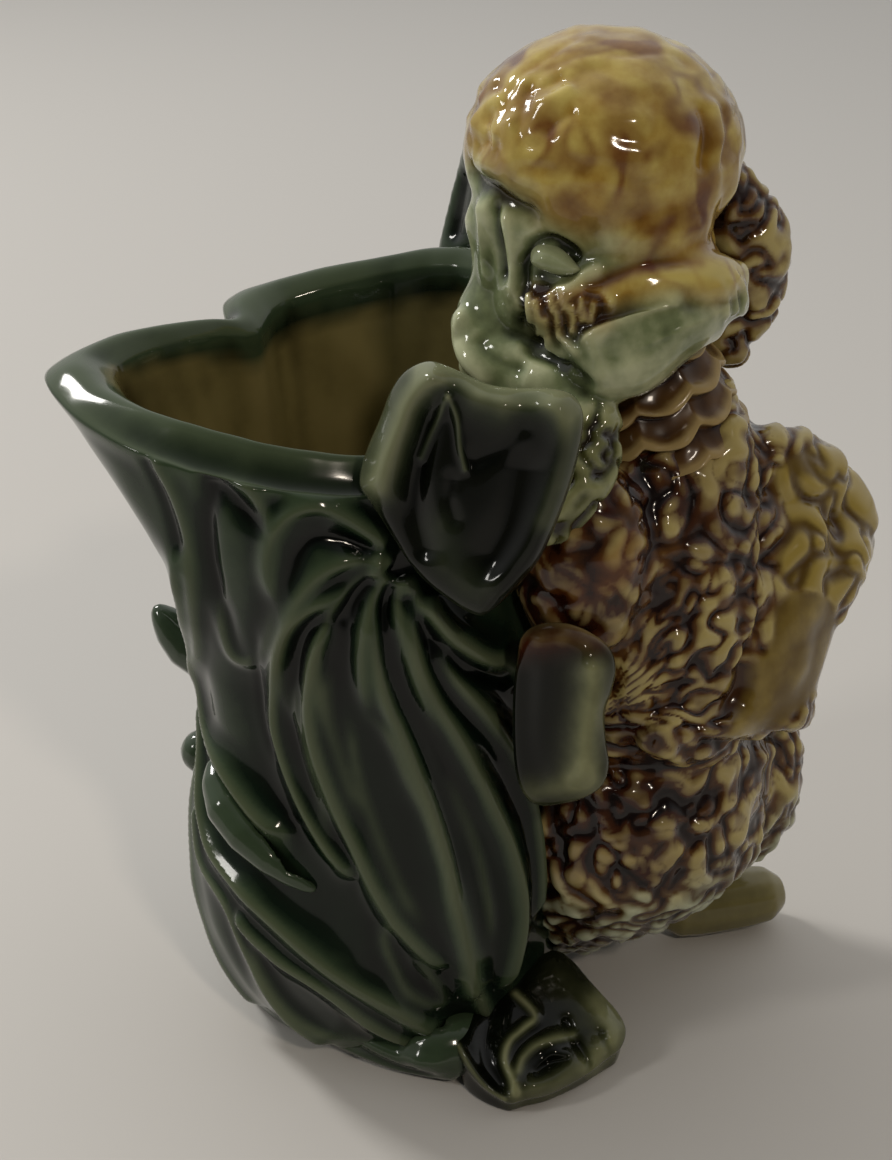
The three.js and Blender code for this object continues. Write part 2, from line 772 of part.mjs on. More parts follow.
const skullShares = [1, 1, 1.1];
const skullHalves = skullShares.map((share) => share * skullRadius);
form("skull", paleGlaze, headLump([-0.1, -0.05, 0], skullHalves, { around: 16, rows: 10 }));
const topknotSeatShares = [-0.05, -0.1, 1.08];
const topknotHalves = [topknotDepth / 2, topknotWidth / 2, topknotThickness / 2];
form("topknot", topGlaze, headLump(topknotSeatShares, topknotHalves, { around: 20, rows: 12 }));
const muzzleSeatShares = [0.82, -0.13, -0.23];
const muzzleHalves = [muzzleLength / 2, muzzleWidth / 2, muzzleThickness / 2];
const muzzleMore = { roll: muzzleRoll, around: 16, rows: 10 };
form("muzzle", paleGlaze, headLump(muzzleSeatShares, muzzleHalves, muzzleMore));
const noseSeatShares = [0.467, 0.05, 0.136];
const noseHalfShares = [0.7, 1, 0.8];
form("nose", leafGlaze, (grow) => {
  const [forward, left, up] = sized([noseSeatShares], [muzzleLength, muzzleWidth, muzzleThickness])[0];
  const at = frameAt(onHead(muzzleSeatShares), faceHeading)(forward, left, up);
  const halves = noseHalfShares.map((share) => share * noseRadius);
  return lump({ at, halves, heading: faceHeading, around: 10, rows: 7 }, grow);
});
const eyeSeatShares = [0.43, 0.8, 0.36];
const eyeHalfShares = [0.9, 1, 0.8];
const eyeTurn = 50;
for (const [name, side] of Object.entries({ near_eye: -1, far_eye: 1 })) {
  const [forward, left, up] = eyeSeatShares;
  const halves = eyeHalfShares.map((share) => share * eyeRadius);
  const more = { heading: faceHeading + side * eyeTurn, around: 10, rows: 7 };
  form(name, paleGlaze, headLump([forward, side * left, up], halves, more));
}

// Ears: the near one hangs in a smooth fold that ends in a curly tuft, the far one in one curly length.
const nearEarShares = [
  [-0.42, -1.0, 0.74],
  [-0.38, -1.12, 0.1],
  [-0.29, -1.12, -0.38],
  [0.14, -1, -0.8],
  [0.6, -0.66, -1.15],
  [0.75, -0.56, -1.75],
];
const nearEarHalfShares = [
  [0.38, 0.38],
  [0.38, 0.31],
  [0.5, 0.38],
  [0.5, 0.44],
  [0.5, 0.38],
  [0.38, 0.31],
];
const farEarShares = [
  [-0.19, 1.0, 0.74],
  [-0.1, 1.27, 0.1],
  [0, 1.22, -0.5],
  [0, 1.0, -1.1],
];
const farEarHalfShares = [
  [0.35, 0.35],
  [0.5, 0.5],
  [0.5, 0.55],
  [0.4, 0.45],
];
function ear(pathShares, halfShares, sizes, steps) {
  const halves = sized(halfShares, sizes);
  return (grow) => limb({ path: pathShares.map(onHead), halves, side: towards(faceHeading), steps }, grow);
}
form("near_ear", paleGlaze, ear(nearEarShares, nearEarHalfShares, [nearEarWidth, nearEarWidth], 11));
form("far_ear", furGlaze, ear(farEarShares, farEarHalfShares, [farEarWidth, farEarThickness], 9));

// Collar: scalloped tiers about the neck, each wider than the one above it.
const collarSides = 5;
const scallopSteps = 2;
const collarSeatShares = [-0.62, -0.17];
const tierForwardShare = 0.38;
const collarFlatShare = 0.8;
function collarTier(tier) {
  return (grow) => {
    const [forwardShare, leftShare] = collarSeatShares;
    const forward = forwardShare * headBack + tierForwardShare * tier * collarSpread;
    const up = neckHeight + collarRise - tier * collarPitch;
    const centre = dogPoint(forward, leftShare * headBack, up);
    const reach = collarRadius + tier * collarSpread;
    const lean = new THREE.Matrix4().makeRotationAxis(dogLeft, collarLean * toRadians);
    const around = scallopSteps * scallopCount;
    const points = [];
    const faces = [];
    for (let i = 0; i < around; i++) {
      const turn = (2 * Math.PI * i) / around;
      const scallop = scallopDepth * Math.abs(Math.cos((scallopCount * turn + Math.PI * tier) / 2));
      for (let j = 0; j < collarSides; j++) {
        const roll = (2 * Math.PI * j) / collarSides;
        const out = reach + (collarThickness + grow) * Math.cos(roll) + scallop;
        const rise = (collarFlatShare * collarThickness + grow) * Math.sin(roll) - scallop;
        const p = new THREE.Vector3(out * Math.cos(turn), out * Math.sin(turn), rise);
        points.push(p.applyMatrix4(lean).add(centre));
        const here = i * collarSides;
        const next = ((i + 1) % around) * collarSides;
        const above = (j + 1) % collarSides;
        faces.push(here + j, next + j, next + above);
        faces.push(here + j, next + above, here + above);
      }
    }
    const geometry = new THREE.BufferGeometry().setFromPoints(points);
    geometry.setIndex(faces);
    return facingOut(geometry);
  };
}
for (let tier = 0; tier < collarTiers; tier++) form(`collar_tier_${tier + 1}`, furGlaze, collarTier(tier));

// Everything, set so that the middle of its footprint stands on the origin.
const whole = new THREE.Group();
for (const [name, { solid, material }] of forms) {
  const mesh = solid.getMesh();
  const positions = new Float32Array(mesh.numVert * 3);
  for (let i = 0; i < mesh.numVert; i++) {
    positions.set(mesh.vertProperties.subarray(i * mesh.numProp, i * mesh.numProp + 3), i * 3);
  }
  const geometry = new THREE.BufferGeometry();
  geometry.setAttribute("position", new THREE.BufferAttribute(positions, 3));
  geometry.setIndex(new THREE.BufferAttribute(mesh.triVerts, 1));
  geometry.computeVertexNormals();
  const piece = new THREE.Mesh(geometry, material);
  piece.name = name;
  whole.add(piece);
}
const extent = new THREE.Box3().setFromObject(whole);
const middle = extent.getCenter(new THREE.Vector3());
for (const piece of whole.children) piece.geometry.translate(-middle.x, -middle.y, -extent.min.z);

export default whole;
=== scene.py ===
import json
import math

import bpy
import bmesh
import numpy as np
from mathutils import Matrix, Vector
from mathutils.bvhtree import BVHTree


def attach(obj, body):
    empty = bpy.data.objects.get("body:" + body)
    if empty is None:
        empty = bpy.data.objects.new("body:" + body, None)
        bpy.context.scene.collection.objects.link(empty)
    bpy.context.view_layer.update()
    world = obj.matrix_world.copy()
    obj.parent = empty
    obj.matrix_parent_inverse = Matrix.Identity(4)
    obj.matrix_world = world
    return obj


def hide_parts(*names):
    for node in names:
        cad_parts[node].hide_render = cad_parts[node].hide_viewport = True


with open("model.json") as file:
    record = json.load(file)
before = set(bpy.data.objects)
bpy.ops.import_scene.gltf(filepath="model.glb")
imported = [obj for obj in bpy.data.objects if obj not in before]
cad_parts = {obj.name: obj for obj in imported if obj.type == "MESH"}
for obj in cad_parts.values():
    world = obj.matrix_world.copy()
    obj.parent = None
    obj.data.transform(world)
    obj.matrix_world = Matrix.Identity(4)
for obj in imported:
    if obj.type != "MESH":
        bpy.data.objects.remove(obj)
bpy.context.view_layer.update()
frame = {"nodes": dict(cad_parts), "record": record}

# The sculpting below works in millimetres, Z up, in the frame's own place. put_in_scene() turns it into metres.
MM = 0.001
FOOT = frame["record"]["mounts"][0]["pos_m"]  # the middle of the vessel's foot
AXIS = np.array([FOOT[0], FOOT[1], 0.0]) / MM
UP = np.array([0.0, 0.0, 1.0])
RIGHT = np.array([1.0, 0.0, 0.0])

# The camera. Strokes on the photographed side are typed as points of a picture of this width and height.
LOOK_AT = np.array([-5.75, 1.08, 95.0])
LOOK_DOWN = math.radians(28)
CAMERA_FAR = 360.0
LENS = 55.4
SENSOR = 36.0
PICTURE = (892, 1160)
BACK = np.array([0.0, -math.cos(LOOK_DOWN), math.sin(LOOK_DOWN)])
UPRIGHT = np.array([0.0, math.sin(LOOK_DOWN), math.cos(LOOK_DOWN)])
STAND = LOOK_AT + BACK * CAMERA_FAR
FOCUS = LENS / SENSOR * PICTURE[1]  # in pixels


# ---- small vector helpers

def unit(v):
    return v / np.maximum(np.linalg.norm(v, axis=-1, keepdims=True), 1e-9)


def smoothstep(low, high, x):
    t = np.clip((x - low) / (high - low), 0.0, 1.0)
    return t * t * (3 - 2 * t)


def mix(a, b, t):
    return a + (b - a) * t


def pairs(*numbers):
    """Numbers typed in one row, as rows of two."""
    return np.reshape(np.array(numbers, float), (-1, 2))


def curve_through(points, steps):
    """A smooth path (Catmull-Rom) through rows of numbers, with a number of steps from each to the next."""
    p = np.asarray(points, float)
    p = np.vstack([2 * p[0] - p[1], p, 2 * p[-1] - p[-2]])
    rows = []
    for a, b, c, d in zip(p, p[1:], p[2:], p[3:]):
        for t in np.arange(steps) / steps:
            rows.append(0.5 * (2 * b + (c - a) * t + (2 * a - 5 * b + 4 * c - d) * t**2
                               + (3 * b - a - 3 * c + d) * t**3))
    return np.array(rows + [p[-2]])


def sight(places):
    """The directions from the camera through places on the picture."""
    x, y = np.asarray(places, float).T
    return (-BACK * FOCUS + RIGHT * (x - PICTURE[0] / 2)[:, None]
            + UPRIGHT * (PICTURE[1] / 2 - y)[:, None])


def on_picture(points):
    """Where points show on the picture, and how far off they are."""
    ray = points - STAND
    far = -(ray @ BACK)
    return np.stack([PICTURE[0] / 2 + FOCUS * (ray @ RIGHT) / far,
                     PICTURE[1] / 2 - FOCUS * (ray @ UPRIGHT) / far], axis=1), far


def pulled(points, pulls):
    """Moves points across the picture: rows of [x, y, to the right, down, reach], all in its pixels."""
    spot, far = on_picture(points)
    move = np.zeros((len(points), 2))
    for x, y, right, down, reach in pulls:
        near = np.exp(-((spot - (x, y)) ** 2).sum(1) / reach**2)
        move += near[:, None] * (right, down)
    move *= (far / FOCUS)[:, None]
    return points + RIGHT * move[:, :1] - UPRIGHT * move[:, 1:]


# ---- noise

GRADIENTS = np.array([(x, y, z) for x in (-1, 0, 1) for y in (-1, 0, 1) for z in (-1, 0, 1)
                      if abs(x) + abs(y) + abs(z) == 2], float)


def noise3(p, seed):
    """Smooth gradient noise, about -1 to 1, one value for each row of p."""
    base = np.floor(p).astype(np.int64)
    f = p - base
    ease = f * f * f * (f * (f * 6 - 15) + 10)
    total = np.zeros(len(p))
    for corner in range(8):
        step = np.array([corner & 1, corner >> 1 & 1, corner >> 2 & 1])
        # A hash of the corner's place and the seed picks its gradient.
        i, j, k = (base + step).T
        h = (i * 374761393 + j * 668265263 + k * 1103515245 + seed * 1274126177) & 0xFFFFFFFF
        h = ((h ^ (h >> 13)) * 1274126177) & 0xFFFFFFFF
        grad = GRADIENTS[((h ^ (h >> 16)) & 0xFFFF) % len(GRADIENTS)]
        weight = np.prod(np.where(step, ease, 1 - ease), axis=1)
        total += weight * ((f - step) * grad).sum(1)
    return total


def noise_vector(p, seed):
    return np.stack([noise3(p, seed + n) for n in (11, 23, 37)], axis=1)


def curls(points, size, seed, bend=0.9, valley=0.19):
    """Curls, from 0 in their narrow valleys to nearly 1 on their rounded backs."""
    bent = points / size + bend * noise_vector(points / (1.6 * size), seed)
    return 1 - np.exp(-np.abs(noise3(bent, seed)) / valley)


# ---- meshes as arrays

def points_of(mesh):
    co = np.empty(len(mesh.vertices) * 3)
    mesh.vertices.foreach_get("co", co)
    return co.reshape(-1, 3) / MM


def cad_arrays(names):
    """The named CAD nodes as one array of points in millimetres and a list of faces."""
    points, faces, count = [], [], 0
    for name in names:
        mesh = frame["nodes"][name].data
        points.append(points_of(mesh))
        faces += [tuple(count + i for i in p.vertices) for p in mesh.polygons]
        count += len(mesh.vertices)
    return np.vstack(points), faces


def ray_tree(names):
    points, faces = cad_arrays(names)
    return BVHTree.FromPolygons([Vector(p) for p in points], faces)


def skin_tree(points, quads):
    return BVHTree.FromPolygons(points.tolist(), quads.tolist())


def vertex_normals(points, quads):
    a, b, c, d = (points[quads[:, i]] for i in range(4))
    face = np.cross(c - a, d - b)
    normal = np.zeros_like(points)
    for corner in range(4):
        for axis in range(3):
            normal[:, axis] += np.bincount(quads[:, corner], face[:, axis], len(points))
    return unit(normal)


def raised(points, quads, relief):
    """Points moved out along their normals."""
    return points + vertex_normals(points, quads) * relief[:, None]


def averager(points, quads):
    """Returns a function that moves each point's value by a share of the way to its neighbours' mean."""
    ends = np.vstack([quads[:, [i, (i + 1) % 4]] for i in range(4)])
    ends = ends[ends[:, 0] != ends[:, 1]]
    degree = np.maximum(np.bincount(ends[:, 0], minlength=len(points)), 1)

    def average(values, times=1, share=1.0):
        values = np.array(values, float)
        columns = values.reshape(len(points), -1)
        for _ in range(times):
            for axis in range(columns.shape[1]):
                mean = np.bincount(ends[:, 0], columns[ends[:, 1], axis], len(points)) / degree
                columns[:, axis] += share * (mean - columns[:, axis])
        return columns.reshape(values.shape)

    return average


def linked(name, data):
    holder = bpy.data.objects.new(name, data)
    bpy.context.scene.collection.objects.link(holder)
    return holder


def put_in_scene(name, points, quads, hidden_nodes, material, values):
    """Makes the piece, rides it on the frame and hides the CAD nodes that it stands for.

    A quad whose last two corners are the same is a triangle. Values are the material's attributes."""
    mesh = bpy.data.meshes.new(name)
    mesh.vertices.add(len(points))
    mesh.vertices.foreach_set("co", (points * MM).astype(np.float32).ravel())
    triangle = quads[:, 2] == quads[:, 3]
    sizes = np.where(triangle, 3, 4)
    keep = np.ones(quads.shape, bool)
    keep[triangle, 3] = False
    mesh.loops.add(int(sizes.sum()))
    mesh.loops.foreach_set("vertex_index", quads[keep].astype(np.int32))
    mesh.polygons.add(len(quads))
    mesh.polygons.foreach_set("loop_start", np.concatenate([[0], np.cumsum(sizes)[:-1]]).astype(np.int32))
    mesh.polygons.foreach_set("use_smooth", np.ones(len(quads), bool))
    mesh.update(calc_edges=True)
    for key, value in values.items():
        layer = mesh.attributes.new(key, "FLOAT", "POINT")
        layer.data.foreach_set("value", np.asarray(value, np.float32))
    mesh.materials.append(material)
    piece = linked(name, mesh)
    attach(piece, "root")
    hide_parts(*hidden_nodes)


# ---- clay: lumps that are luted on and melted in

# A lump is an ellipsoid: its middle, its half sizes and its turn about Z in degrees.

def roll_of_clay(places):
    """Lumps set close along a path of rows (x, y, z, radius)."""
    return [(row[:3], (row[3],) * 3, 0) for row in curve_through(places, steps=6)]


def fused(names, melt, lumps, voxel=0.6, swell=0.3):
    """One closed skin over CAD nodes and lumps: swollen so that their gaps close, remeshed, then melted."""
    shape = bmesh.new()
    for name in names:
        part = bmesh.new()
        part.from_mesh(frame["nodes"][name].data)
        bmesh.ops.remove_doubles(part, verts=part.verts, dist=0.01 * MM)
        part.normal_update()
        for v in part.verts:
            v.co += v.normal * swell * MM
        mesh = bpy.data.meshes.new("part")
        part.to_mesh(mesh)
        part.free()
        shape.from_mesh(mesh)
        bpy.data.meshes.remove(mesh)
    for at, halves, turn in lumps:
        place = Matrix.Translation(Vector(at) * MM) @ Matrix.Rotation(math.radians(turn), 4, "Z")
        size = Matrix.Diagonal((halves[0] * MM, halves[1] * MM, halves[2] * MM, 1))
        bmesh.ops.create_icosphere(shape, subdivisions=3, radius=1, matrix=place @ size)
    mesh = bpy.data.meshes.new("fused")
    shape.to_mesh(mesh)
    shape.free()
    holder = linked("fused", mesh)
    remesh = holder.modifiers.new("remesh", "REMESH")
    remesh.mode = "VOXEL"
    remesh.voxel_size = voxel * MM
    smooth = holder.modifiers.new("melt", "SMOOTH")
    smooth.factor = 0.5
    smooth.iterations = melt
    evaluated = holder.evaluated_get(bpy.context.evaluated_depsgraph_get())
    result = evaluated.to_mesh()
    points = points_of(result)
    loops = np.empty(len(result.loops), np.int64)
    result.loops.foreach_get("vertex_index", loops)
    evaluated.to_mesh_clear()
    bpy.data.objects.remove(holder)
    bpy.data.meshes.remove(mesh)
    return points, loops.reshape(-1, 4)


# ---- relief

def distance_to_path(points, path):
    """Each point's distance to a path, and how far along the path it lies, from 0 to 1."""
    steps = np.linalg.norm(np.diff(path, axis=0), axis=1)
    run = np.concatenate([[0], np.cumsum(steps)])
    best = np.full(len(points), np.inf)
    along = np.zeros(len(points))
    for i, (a, b) in enumerate(zip(path, path[1:])):
        if steps[i] < 1e-9:
            continue
        d = (b - a) / steps[i]
        t = np.clip((points - a) @ d, 0, steps[i])
        far = np.linalg.norm(points - a - t[:, None] * d, axis=1)
        nearer = far < best
        best[nearer] = far[nearer]
        along[nearer] = (run[i] + t[nearer]) / run[-1]
    return best, along


def crest(points, path, height, width, taper=(0.18, 0.18), sharp=1.7):
    """A ridge (or, with a negative height, a groove) along a path: narrow on top, with hollow flanks.

    Taper holds the shares of its length over which it rises at its start and falls at its end."""
    out = np.zeros(len(points))
    low, high = path.min(0) - width, path.max(0) + width
    near = np.flatnonzero(((points > low) & (points < high)).all(axis=1))
    if not len(near):
        return out
    d, along = distance_to_path(points[near], path)
    d = np.sqrt(d * d + 0.16) - 0.4  # a rounded top
    fall = np.clip(1 - d / width, 0, 1) ** sharp
    out[near] = height * fall * smoothstep(0, taper[0], along) * smoothstep(0, taper[1], 1 - along)
    return out


def laid(tree, places):
    """A path drawn on the picture, laid onto a skin along the camera's line of sight."""
    path = []
    for way in sight(curve_through(places, steps=6)):
        hit = tree.ray_cast(Vector(STAND), Vector(way))[0]
        if hit is not None:
            path.append(hit)
    return np.array(path)


def stroked(points, tree, strokes, taper=(0.18, 0.18)):
    """The relief of strokes: rows of height and width in millimetres, then x,y of each place on the picture."""
    relief = np.zeros(len(points))
    for height, width, *places in strokes:
        path = laid(tree, pairs(*places))
        if len(path) > 1:
            relief += crest(points, path, height, width, taper)
    return relief


def drawn(spots, strokes):
    """Soft strokes with round ends for spots on the picture itself, with the widths in its pixels."""
    total = np.zeros(len(spots))
    for height, width, *places in strokes:
        far = distance_to_path(spots, curve_through(pairs(*places), steps=5))[0]
        total += height * np.exp(-3 * (far / width) ** 2)
    return total


def mask(spots, strokes):
    """Soft strokes as a mask from 0 to 1."""
    return np.clip(drawn(spots, strokes), 0, 1)


CUSHION_COLUMNS = 300
# The rings' shares of the way from the centre to the outline, closer together near the edge.
CUSHION_RINGS = np.concatenate([np.linspace(0.02, 0.9, 56), np.linspace(0.91, 1, 16)])
ABOVE_TABLE = 0.3


def cushion(outline, centre, middle, facing, thick, edge, deep, strokes, grounded=False):
    """A rounded form whose outline and strokes are drawn on the picture and laid onto a plane.

    The outline runs clockwise round a centre on the picture, and the plane goes through a middle point and
    faces a direction. Thick and deep are in millimetres, the width of the rounded edge in pixels. A grounded
    form goes down to the table behind its edge. Returns its points, its quads and their averager."""
    rim = curve_through([outline[-1], *outline, outline[0], outline[1]], steps=12)[12:-12]
    run = np.concatenate([[0], np.cumsum(np.linalg.norm(np.diff(rim, axis=0), axis=1))])
    even = np.linspace(0, run[-1], CUSHION_COLUMNS + 1)[:-1]
    rim = np.stack([np.interp(even, run, rim[:, 0]), np.interp(even, run, rim[:, 1])], axis=1)
    spots = (np.array(centre) + CUSHION_RINGS[:, None, None] * (rim - centre)).reshape(-1, 2)
    inward = distance_to_path(spots, np.vstack([rim, rim[:1]]))[0]
    round_off = np.sqrt(np.clip(1 - (1 - np.clip(inward / edge, 0, 1)) ** 2, 0, 1))
    way = sight(spots)
    facing = unit(np.array(facing, float))
    base = STAND + way * (((np.array(middle) - STAND) @ facing) / (way @ facing))[:, None]
    near = base - unit(way) * (round_off * (thick + drawn(spots, strokes)))[:, None]
    if grounded:
        far = base.copy()
        far[:, 2] = mix(base[:, 2], ABOVE_TABLE, smoothstep(0, 0.3, inward / edge))
    else:
        far = base + unit(way) * (round_off * deep)[:, None]
    back_rows = far.reshape(-1, CUSHION_COLUMNS, 3)[-2::-1].reshape(-1, 3)
    rows = np.concatenate([near, back_rows])
    points = np.vstack([rows, near[:CUSHION_COLUMNS].mean(0), far[:CUSHION_COLUMNS].mean(0)])
    quads = grid_faces(len(rows) // CUSHION_COLUMNS, CUSHION_COLUMNS)
    average = averager(points, quads)
    return average(points, share=0.5), quads, average


def nearness(points, places, reach, soft):
    """1 within a reach of a path through the first three numbers of each row, falling to 0 over a soft edge."""
    path = curve_through([place[:3] for place in places], steps=4)
    return 1 - smoothstep(reach, reach + soft, distance_to_path(points, path)[0])


def standing_out(points, quads, average, fine=1.6, broad=0.55):
    """How far each point stands out from the skin about it, as 0 in hollows, a half on plain skin, 1 on crests."""
    normal = vertex_normals(points, quads)
    near = average(points, times=8)
    far = average(near, times=70)
    rise = fine * ((points - near) * normal).sum(1) + broad * ((points - far) * normal).sum(1)
    return 0.5 + 0.5 * np.tanh(average(rise, times=2))


# ---- glazes

def shade(red, green, blue):
    """A colour given from 0 to 255 as on a screen, in the linear values that a shader takes."""
    return tuple(((c / 255 + 0.055) / 1.055) ** 2.4 for c in (red, green, blue)) + (1,)


def node(tree, kind, inputs, **settings):
    """A new shader node. Each input is another node's output, or a number or colour of its own."""
    made = tree.nodes.new("ShaderNode" + kind)
    for key, value in settings.items():
        setattr(made, key, value)
    for key, value in inputs.items():
        if isinstance(value, bpy.types.NodeSocket):
            tree.links.new(value, made.inputs[key])
        else:
            made.inputs[key].default_value = value
    return made


def ramp(tree, shades, factor):
    """Shades at about a sixth, a half and five sixths of the factor."""
    made = node(tree, "ValToRGB", {"Fac": factor})
    elements = made.color_ramp.elements
    elements[0].position, elements[1].position = 0.16, 0.84
    elements.new(0.5)
    for element, colour in zip(elements, shades):
        element.color = shade(*colour)
    return made.outputs["Color"]


def attribute(tree, name):
    return node(tree, "Attribute", {}, attribute_name=name).outputs["Fac"]


def sum_of(tree, a, b, times):
    """a + (b - 0.5) * times, for a noise b that lies about 0.5."""
    lower = node(tree, "Math", {0: b, 1: 0.5}, operation="SUBTRACT").outputs[0]
    return node(tree, "Math", {0: lower, 1: times, 2: a}, operation="MULTIPLY_ADD").outputs[0]


def blended(tree, factor, a, b):
    return node(tree, "Mix", {"Factor": factor, "A": a, "B": b}, data_type="RGBA").outputs["Result"]


def new_material(name, looks):
    """A material, and its shader with the looks set."""
    material = bpy.data.materials.new(name)
    material.use_nodes = True
    shader = material.node_tree.nodes["Principled BSDF"]
    for key, value in looks.items():
        shader.inputs[key].default_value = value
    return material, shader


MOTTLE_SCALES = [(110, 1.0), (420, 0.4)]  # a noise's scale and its share of the mottle


def glaze(name, shades, tints=(), mottle=0.35, roughness=0.12, shine=0.3):
    """A wet glaze: shades by the relief attribute, and other shades laid over them by an attribute each."""
    material, shader = new_material(name, {"Roughness": roughness, "Specular IOR Level": shine,
                                           "Coat Weight": 1.1 * shine, "Coat Roughness": 0.04})
    tree = material.node_tree
    place = node(tree, "TexCoord", {}).outputs["Object"]
    level = attribute(tree, "relief")
    for scale, share in MOTTLE_SCALES:
        cloud = node(tree, "TexNoise", {"Vector": place, "Scale": scale, "Detail": 3})
        level = sum_of(tree, level, cloud.outputs["Fac"], share * mottle)
    colour = ramp(tree, shades, level)
    for key, tint in tints:
        colour = blended(tree, attribute(tree, key), colour, ramp(tree, tint, level))
    tree.links.new(colour, shader.inputs["Base Color"])
    return material


# Shades for hollows, plain skin and crests.
GREEN = [(3, 7, 4), (16, 28, 18), (54, 68, 48)]
LINE_GREEN = [(28, 38, 24), (54, 64, 44), (86, 94, 70)]
# Nearly black: a dark green glaze, made darker as painted shade.
DARK_GREEN = [(2, 3, 1), (8, 11, 4), (26, 32, 18)]
TAN = [(60, 52, 28), (114, 104, 64), (132, 120, 78)]
PETAL_EDGE = [(26, 36, 24), (64, 74, 54), (116, 120, 92)]
CELADON = [(36, 42, 24), (112, 122, 86), (176, 180, 144)]
STRAW = [(82, 48, 12), (150, 116, 42), (194, 176, 98)]
RUST = [(46, 14, 6), (90, 48, 18), (136, 98, 48)]
CURL = [(30, 9, 4), (92, 60, 25), (176, 160, 102)]
MAROON = [(14, 4, 2), (58, 24, 9), (146, 128, 84)]
OLIVE = [(60, 34, 10), (104, 84, 34), (160, 140, 70)]
OAT = [(26, 20, 14), (100, 100, 74), (176, 182, 156)]
TUFT_GREEN = [(30, 22, 8), (78, 80, 44), (138, 140, 98)]
PAW = [(34, 30, 12), (84, 78, 42), (120, 112, 70)]
PALE_PAW = [(26, 28, 14), (72, 76, 48), (128, 130, 94)]


# ---- vessel

WALL_COLUMNS = 400
WALL_ROWS = 215
RIM_ROWS = 22
CAVITY_ROWS = 60
RIM_ROLL = 3.0
NEAR_RIM_ROLL = 5.5
RIM_REACHES = np.arange(28.0, 66.0, 1.5)  # where the rim's crown is looked for, out from the axis
FLOOR = 7.0
LINE_WIDTH = 1.4
RIM_LINE = 0.35
BEYOND, ABOVE = 120.0, 260.0  # outside the whole object, where rays start
WALL_NODES = ["vase_vessel", "front_leaf", "lower_leaf", "foot_leaf", "sweep_leaf", "fold_leaf", "hub_leaf",
              "side_leaf", "back_leaf"]

# Leaf ridges: height and width, then each place in degrees round the axis and millimetres up.
FAN_RIDGES = [
    [2, 6.5, -97,113, -105,111, -112,107, -117,100, -120,90, -121,79, -115,68, -107,59, -101,54, -94,50],
    [1.9, 5.5, -100,108, -106,101, -109,90, -108,79, -103,68, -97,58, -91,48, -86,41, -78,33, -71,29],
    [2.4, 6.5, -92,111, -91,103, -89,92, -85,84, -81,75, -77,66, -74,55, -72,44, -69,32, -65,16],
    [1.9, 5.5, -81,113, -81,101, -76,90, -68,78, -61,65, -56,54, -53,39, -55,27, -59,17],
    [1.7, 5, -77,104, -70,93, -60,83, -51,72, -45,59, -44,47, -45,31],
    [1.5, 5, -78,111, -72,103, -63,97, -52,93, -46,86],
    [1.6, 4.5, -71,29, -66,22, -62,14, -58,8],
]
SWEEP_RIDGES = [
    [2.2, 6.5, -140,118, -148,101, -155,87, -154,73, -139,67, -125,60, -118,58, -113,59],
    [1.9, 7, -170,75, -156,56, -144,47, -129,42, -114,36, -100,28, -86,19, -74,8],
    [1.7, 6, -133,38, -129,34, -119,30, -105,25, -92,15, -78,5],
    [1.5, 6, -160,52, -151,41, -136,36, -129,25, -120,14, -106,4],
    [1.4, 6, -176,60, -170,44, -160,28, -146,15, -132,6],
]
FINE_LINES = [
    [0.55, 1.9, -112,95, -113,85, -110,74, -106,65, -103,58],
    [0.5, 1.9, -99,88, -97,75, -93,64, -88,54, -83,45, -78,39],
    [0.5, 1.9, -73,41, -74,53, -78,64, -84,75, -89,84, -96,88],
    [0.6, 2.2, -73,74, -69,65, -65,54, -63,42, -62,32],
    [0.7, 2.6, -130,113, -134,101, -133,94, -127,94, -122,99, -118,106, -117,111],
    [0.6, 2.2, -128,32, -125,23, -117,14, -103,7],
    [0.9, 2.6, -86,44, -90,39, -89,33, -84,24, -75,19, -77,26, -85,35],
    [-0.9, 2.4, -143,112, -151,98, -158,84, -156,70, -146,65, -134,61],
    [0.5, 1.9, -104,98, -104,86, -100,74, -95,64],
    [-0.6, 1.6, -88,100, -85,90, -80,80, -76,70, -72,58, -70,46],
    [-0.6, 1.8, -122,104, -125,94, -126,82, -121,70],
]
# The near rim, the leaf that curls over from the hub, and the fan's ridges where they start, drawn on the picture:
# height and width in millimetres, then x,y of each place.
HUB_STROKES = [
    [1.5, 4, 70,378, 100,392, 125,404, 170,437, 220,457, 250,475, 285,488, 312,494],
    [-1.6, 5, 204,470, 224,492, 248,518, 268,536],
    [0.9, 2.4, 233,472, 252,492, 268,520, 272,540],
    [-1.5, 3.4, 212,482, 207,520, 210,560, 220,600, 234,640, 250,662],
    [0.9, 3, 150,452, 176,500, 192,560, 198,620, 206,690, 222,760],
    [-0.8, 2, 140,452, 166,500, 182,560, 190,620, 196,680],
    [2.2, 3.6, 388,546, 352,520, 320,505, 292,512, 272,540, 269,572, 281,606, 298,630],
    [-1.4, 3, 372,552, 340,540, 312,540, 296,560, 292,590],
    [1.7, 3.2, 384,556, 352,559, 322,571, 300,592, 287,624, 284,660, 292,700, 306,740],
    [1.6, 3, 386,564, 356,580, 336,606, 324,640, 320,680, 330,740],
    [-1.2, 2.6, 372,572, 346,600, 330,640, 328,690],
    [1.6, 2.8, 388,570, 374,596, 364,630, 362,670, 370,730],
    [1.6, 2.8, 396,574, 396,604, 404,640, 420,690, 440,740],
    [-1.4, 2.6, 392,580, 384,610, 384,650, 394,700],
    [1.8, 3, 402,572, 420,604, 446,630, 482,654, 508,680],
    [-1.3, 2.6, 404,590, 418,622, 444,656, 476,690],
    [2.2, 4.4, 374,556, 384,560, 394,564],
]
